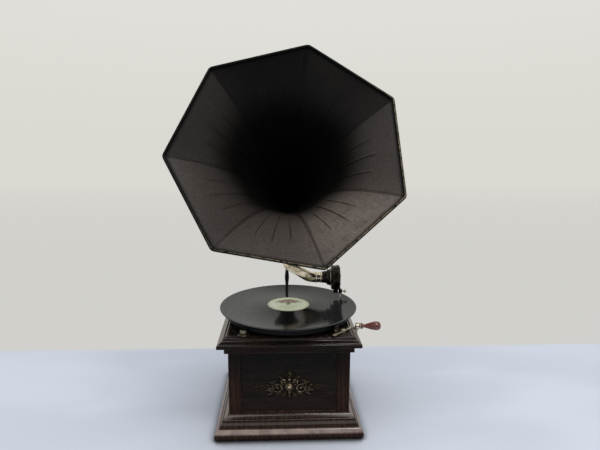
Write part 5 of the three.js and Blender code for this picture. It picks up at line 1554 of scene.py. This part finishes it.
def clamp_screw():
    """Thumb screw with two rounded wings."""
    stem = turned([(0, 21.2), (2.3, 21.2), (2.3, 26.2), (4.2, 26.3), (4.3, 27.4), (3.6, 29), (3.0, 30.2), (2.2, 30.8),
                   (0, 31)], 24, to_right)
    half = smooth_line([(0.4, 1.2), (0.55, 3.6), (0.75, 6.4), (2.2, 8.6), (4.6, 8.9), (7.2, 8.2), (7.9, 6.4),
                        (7.3, 4.6), (5.4, 3.2), (3.6, 2.2), (3.2, 0)], 3)
    wings = board([(27 + x, y) for x, y in half] + [(27 + x, -y) for x, y in reversed(half[:-1])], -1.4, 1.4)
    round_edges(wings, 0.6, 2, 50)
    piece = joined(stem, wings)
    settle(piece, shifted(0, pivot_y, clamp_z))
    finished(piece, "clamp_thumb_screw", "horn_clamp", nickel, "nickel", "horn_clamp_screw", angle=40)


# ---------------------------------------------------------------- tone arm and soundbox

def tone_arm():
    """Tapering tube: a spigot in the ring, a tight bend, a slanting run and a bend to the soundbox."""
    line = bent_line([Vector((0, pivot_y, 247)), Vector((0, pivot_y, arm_axis_z)), Vector((42, arm_y, arm_axis_z)),
                      Vector((80, arm_y, arm_axis_z))], [12, 18], 10)
    count = len(line) - 1
    stations = [((0, pivot_y, 257.2), 15.8), ((0, pivot_y, 254.8), 15.8), ((0, pivot_y, 254.7), 11.9),
                ((0, pivot_y, 248), 11.9), ((0, pivot_y, 247.5), 11.5)]
    stations += [(tuple(point), 11 - 1.2 * min(1, i / (count - 8))) for i, point in enumerate(line)]
    piece = rod_along([Vector(point) / 1000 for point, _ in stations], [r for _, r in stations], sides=12)
    tidy_mesh(piece)
    finished(piece, "tone_arm_tube", "arm", arm_nickel, "nickel", "tone_arm", angle=40)
    bands = []
    for at, radius in ((53, 10.3), (61.5, 10.5)):
        band = turned([(9.4, 0), (radius, 0.2), (radius + 0.4, 0.9), (radius, 1.6), (9.4, 1.8), (9.4, 0)], 48)
        bands.append(settle(band, shifted(at, arm_y, arm_axis_z) @ to_right))
    finished(joined(*bands), "tone_arm_bands", "arm", arm_nickel, "nickel")


def arm_sleeve():
    """Dark socket of the soundbox with two ribs and a set screw."""
    length = 16.7
    skin = smooth_line([(10.2, 0), (11, 0.03), (11.3, 0.08), (11, 0.15), (10.7, 0.17), (10.7, 0.17), (10.9, 0.3),
                        (11.6, 0.46), (13, 0.6), (13, 0.6), (14.4, 0.62), (15, 0.68), (15, 0.76), (14.4, 0.8),
                        (14.4, 0.8), (14.9, 0.84), (15.6, 0.9), (15.6, 0.97), (15, 1)], 3)
    profile = [(8.7, 0), *[(radius, at * length) for radius, at in skin], (8.7, length), (8.7, 0)]
    sleeve = turned(profile, 56, shifted(65, arm_y, arm_axis_z) @ to_right)
    screw = slotted_head(2.1, 1.5, 0.3)
    settle(screw, shifted(71, arm_y, arm_axis_z + 10.8))
    finished(joined(sleeve, screw), "arm_socket", "arm", dark_nickel, "cast_iron", "tone_arm_sleeve")


soundbox_place = shifted(*soundbox_at)


def soundbox_shell():
    skin = [(10, 0), (10.4, 0.4), (10.4, 1.2), (22.6, 1.6), (23.7, 2.1), (24, 2.8), (24, 3.8), (23.6, 4.4),
            (22.6, 4.8), (22.4, 5.6), (22.6, 6.2), (22.8, 11.2), (23, 11.8), (23, 12.24)]
    profile = [(7.2, 0), *skin, (20.4, 12.24), (20.4, 4.8), (7.2, 4.8), (7.2, 0)]
    shell = turned(profile, 72, soundbox_place @ to_right)
    finished(shell, "soundbox_shell", "soundbox", dark_nickel, "nickel", "soundbox_housing")
    ring = turned([(15, -2), (16, -1.7), (16.4, -1), (16.2, -0.2), (15.4, 0), (14, 0), (14, -2), (15, -2)],
                  56, soundbox_place @ to_right)
    finished(ring, "socket_bright_line", "arm", nickel, "nickel")
    front = turned([(19.2, 12.8), (23.5, 12.8), (23.6, 14.6), (23.2, 15.8), (22, 16.7), (20.6, 16.9),
                    (19.6, 16.4), (19.2, 15.4), (19.2, 12.8)], 72, soundbox_place @ to_right)
    screws = []
    head = slotted_head(1.5, 1.0, 0.22)
    for turn in range(8):
        around = about("X", math.radians(22.5 + 45 * turn))
        screws.append(copied(head, soundbox_place @ around @ shifted(16.4, 21.5, 0) @ to_right))
    discard(head)
    finished(joined(front, *screws), "soundbox_front_ring", "soundbox", dark_nickel, "cast_iron", "soundbox_ring")
    gasket = turned([(19.3, 12.6), (20.6, 12.6), (20.6, 13.6), (19.9, 14.1), (19.3, 13.6), (19.3, 12.6)], 72,
                    soundbox_place @ to_right)
    finished(gasket, "soundbox_gasket", "soundbox", rubber, "cast_iron")
    sheet = turned([(0, 12.26), (21.4, 12.26), (21.4, 12.7), (12, 12.66), (0, 12.7)], 72, soundbox_place @ to_right)
    finished(sheet, "mica_sheet", "soundbox", mica, "mica", "diaphragm")


def stylus():
    """Stylus bar with its foot on the mica, its pivot cradle on the ring and the needle chuck."""
    bar = rod_along([place_of(82 + x, arm_y, arm_axis_z + z) for x, z in
                     ((15.2, -1.6), (16.6, -2.4), (17.6, -5), (17.9, -12), (18, -19), (18.1, -24))],
                    [0.8, 1.1, 1.3, 1.35, 1.6, 2.2], sides=4)
    lug = board([(-4.6, 22.6), (4.6, 22.6), (5.2, 25), (4.2, 29.6), (2.6, 31), (-2.6, 31), (-4.2, 29.6), (-5.2, 25)],
                6, 15)
    round_edges(lug, 0.8, 2, 30)
    settle(lug, soundbox_place @ to_right @ about("Z", -quarter))
    foot = turned([(0, 12.75), (2.4, 12.75), (2.3, 13.2), (1.2, 13.8), (1.0, 15.4), (1.3, 15.8), (1.1, 16.4),
                   (0, 16.5)], 20, shifted(82, arm_y, 232.4) @ to_right)
    cradle = board([(-5.2, -24.4), (5.2, -24.4), (5.8, -22.4), (4.6, -19.8), (-4.6, -19.8), (-5.8, -22.4)],
                   15.6, 17.6)
    round_edges(cradle, 0.5, 2, 40)
    settle(cradle, soundbox_place @ to_right @ about("Z", quarter))
    pivot = turned([(0, -6.4), (1.2, -6.2), (1.4, -5.4), (1.4, 5.4), (1.2, 6.2), (0, 6.4)], 16,
                   shifted(99.8, arm_y, 212.2) @ about("X", quarter))
    chuck = turned([(0, -4), (2.4, -4), (3.2, -3.4), (3.4, -2), (3.4, 2.4), (3, 3.6), (2, 4.4), (0, 4.4)], 24,
                   shifted(101.8, arm_y, chuck_z))
    piece = joined(bar, foot, cradle, pivot, chuck, lug)
    finished(piece, "stylus_lever", "soundbox", dark_nickel, "steel", "stylus_bar", angle=40)
    tip = Vector((100.5, 33.5, 194.75))
    top = Vector((101.7, 40, 203))
    pin = rod_along([(top + (tip - top) * share) / 1000 for share in (0, 0.55, 0.72, 0.9, 1)],
                    [0.8, 0.8, 0.62, 0.34, 0.12], sides=4)
    finished(pin, "steel_needle", "soundbox", nickel, "steel", "needle")


def knurled(radius, low, high, teeth, depth):
    """Round head with a knurled edge, about Z."""
    outline = []
    for k in range(teeth * 4):
        angle = math.pi * k / (teeth * 2)
        reach = radius - depth * (1 + math.cos(angle * teeth)) / 2
        outline.append((reach * math.cos(angle), reach * math.sin(angle)))
    head = board(outline, low, high)
    return round_edges(head, 0.3, 2, 60)


def needle_screw():
    stem = turned([(0, 0), (1.5, 0), (1.5, 3.4), (2.2, 3.5), (2.2, 4.2)], 20)
    cap = turned([(2.3, 7.6), (2, 7.9), (1, 8), (0, 8)], 20)
    piece = joined(stem, knurled(2.95, 3.9, 7.7, 16, 0.3), cap)
    settle(piece, shifted(105.3, arm_y, chuck_z) @ to_right)
    finished(piece, "needle_thumb_screw", "needle_clamp", nickel, "nickel", "needle_screw")


# ---------------------------------------------------------------- crank

crank_place = crank_hole @ about("X", -crank_rise)


def round_end(middle, radius, start):
    """Half a circle of points at one end of the arm."""
    angles = [start + math.pi * k / 16 for k in range(17)]
    return [(middle + radius * math.cos(angle), radius * math.sin(angle)) for angle in angles]


def crank():
    """Flat tapering arm with a domed hub and a ferrule, on the winding shaft."""
    outline = [*round_end(0, 7.5, quarter), (12, -6.9), (30, -5.3), (50, -4.7),
               *round_end(crank_throw, 5.75, -quarter), (50, 4.7), (30, 5.3), (12, 6.9)]
    arm = board(outline, 0, 5)
    round_edges(arm, 1.2, 3, 60)
    settle(arm, crank_matrix())
    hub = turned([(0, 98.8), (5, 98.8), (5, 118.4), (7.4, 119), (7.5, 120), (7.5, 124.6), (6.6, 125.2), (4.4, 125.5),
                  (0, 125.5)], 40, to_right)
    end = turned([(5.7, 119.8), (5.75, 125), (5, 125.5), (4.4, 125.6), (3.9, 126.1), (4.4, 126.6), (4.6, 127.2),
                  (4.5, 128.1), (3.6, 128.4), (2.5, 128.4), (2.5, 156), (0, 156)], 40,
                 shifted(0, -crank_throw, 0) @ to_right)
    piece = joined(arm, hub, end)
    settle(piece, crank_place)
    finished(piece, "crank_lever", "crank", nickel, "nickel", "crank_arm", angle=35)


def crank_matrix():
    """Lays the arm's outline from the shaft toward the front, its thickness along X."""
    turn = Matrix(((0, 0, 1, 0), (-1, 0, 0, 0), (0, -1, 0, 0), (0, 0, 0, 1)))
    return shifted(arm_x + 0.4, 0, 0) @ turn


def crank_grip():
    skin = smooth_line([(5.3, 0), (5.3, 0), (5.5, 1.2), (5.3, 2.6), (4.2, 3.6), (3.3, 4.8), (3.05, 6.6), (3.5, 9),
                        (4.8, 13), (6.3, 17.8), (7.4, 22.6), (7.95, 27), (7.8, 30.4), (6.9, 33.2), (5.3, 35),
                        (3, 35.9)], 4)
    grip = turned([(3.0, 0), *skin, (3.0, 35.9), (3.0, 0)], 48,
                  crank_place @ shifted(grip_start, -crank_throw, 0) @ to_right)
    finished(grip, "redwood_grip", "grip", redwood, "redwood", "crank_grip", angle=50)
    rivet = turned([(2.9, 34.9), (2.8, 35.7), (2.0, 36), (0, 36)], 24,
                   crank_place @ shifted(grip_start, -crank_throw, 0) @ to_right)
    finished(rivet, "grip_rivet", "crank", nickel, "nickel")


def escutcheon():
    plate = turned([(5.4, 0), (13.2, 0), (13.5, 0.6), (13.3, 1.7), (12.3, 2.3), (11.9, 2.7), (10.8, 2.7),
                    (10.2, 2.3), (8.8, 2.7), (8, 3.2), (7.8, 5.2), (7.5, 5.9), (5.6, 6), (5.4, 5.6), (5.4, 0)], 64,
                   shifted(mount_face, 0, 0) @ crank_hole @ to_right)
    head = slotted_head(1.3, 0.8, 0.2)
    screws = [copied(head, shifted(99.9, 0, 0) @ crank_hole @ about("X", math.radians(30 + 120 * turn))
                     @ shifted(0, 11.2, 0) @ to_right) for turn in range(3)]
    discard(head)
    finished(joined(plate, *screws), "crank_rose", "case", nickel, "nickel", "crank_escutcheon")


# ---------------------------------------------------------------- deck fittings

def bared(node):
    """A merged copy of a CAD node that can be shaped."""
    choose(frame["nodes"][node])
    bpy.ops.object.duplicate(linked=False)
    bpy.ops.object.parent_clear(type="CLEAR_KEEP_TRANSFORM")
    piece = bpy.context.object
    for key in list(piece.keys()):
        del piece[key]
    open_mesh(piece)
    bpy.ops.mesh.remove_doubles(threshold=1e-5)
    bpy.ops.mesh.dissolve_limited(angle_limit=math.radians(4))
    return close_mesh()


def eased(node, name, body, finish, slot, width, angle=30):
    """The CAD node's own form with softened edges."""
    piece = bared(node)
    round_edges(piece, width, 2, angle)
    finished(piece, name, body, finish, slot, node, angle=35)


def deck_fittings():
    eased("brake_lever", "brake_lever_soft", "brake", nickel, "nickel", 0.5)
    post = turned([(0, 176), (4.4, 176), (4.4, 177.2), (4.0, 177.7), (2.6, 177.7), (2.6, 180.9), (4.4, 180.9),
                   (4.5, 181.6), (3.9, 182.5), (2.4, 183), (0, 183.1)], 32, shifted(*brake_spot))
    finished(post, "brake_stud", "case", nickel, "nickel", "brake_post")
    low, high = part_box("brake_pad")
    middle = (low + high) * 500
    pad = turned([(0, -4.5), (3.6, -4.5), (4, -4), (4, 3.8), (3.5, 4.5), (1.2, 4.5), (1.0, 4.1), (0, 4.1)], 32,
                 shifted(middle.x, middle.y, middle.z))
    finished(pad, "leather_pad", "brake", leather, "leather", "brake_pad")
    stem = turned([(0, 166.4), (2, 166.4), (2, 178)], 16)
    cap = turned([(4.6, 183.9), (4.3, 184.2), (2, 184.3), (1.7, 184.1), (0, 184.1)], 32)
    knob = joined(knurled(5.4, 177.4, 184, 20, 0.5), cap, stem)
    settle(knob, shifted(*speed_spot))
    finished(knob, "speed_screw", "speed", dull_shaded_nickel, "nickel", "speed_knob")
    plate = turned([(2.4, 176), (8.8, 176), (9, 176.3), (8.7, 176.9), (7.8, 177), (7.4, 176.8), (6.6, 176.8),
                    (6.2, 177), (2.4, 177), (2.4, 176)], 48, shifted(*speed_spot))
    finished(plate, "speed_rose", "case", dull_shaded_nickel, "nickel", "speed_plate")


# ---------------------------------------------------------------- CAD nodes that keep their own form

def repaint(nodes, finish):
    for node in nodes:
        for place in frame["nodes"][node].material_slots:
            place.material = finish


def repaint_frame():
    repaint(["bottom_board"], inside_oak)
    repaint(["deck_board"], shaded_deck_oak)
    repaint(["motor_upper_plate", "motor_lower_plate", "spring_barrel", "barrel_lid", "mainspring",
             "winding_arbor", "winding_shaft", "governor_spindle", "turntable_spindle"], steel)
    repaint(["winding_bearing", "intermediate_gear", "governor_weights"], brass)


oak_plinth()
oak_cornice()
oak_posts()
oak_panels()
ornament()
turntable()
horn_bell()
horn_rim()
horn_elbow()
horn_collar()
bracket()
bracket_screws()
clamp_screw()
tone_arm()
arm_sleeve()
soundbox_shell()
stylus()
needle_screw()
crank()
crank_grip()
escutcheon()
deck_fittings()
repaint_frame()

bpy.context.scene.view_settings.view_transform = "Standard"
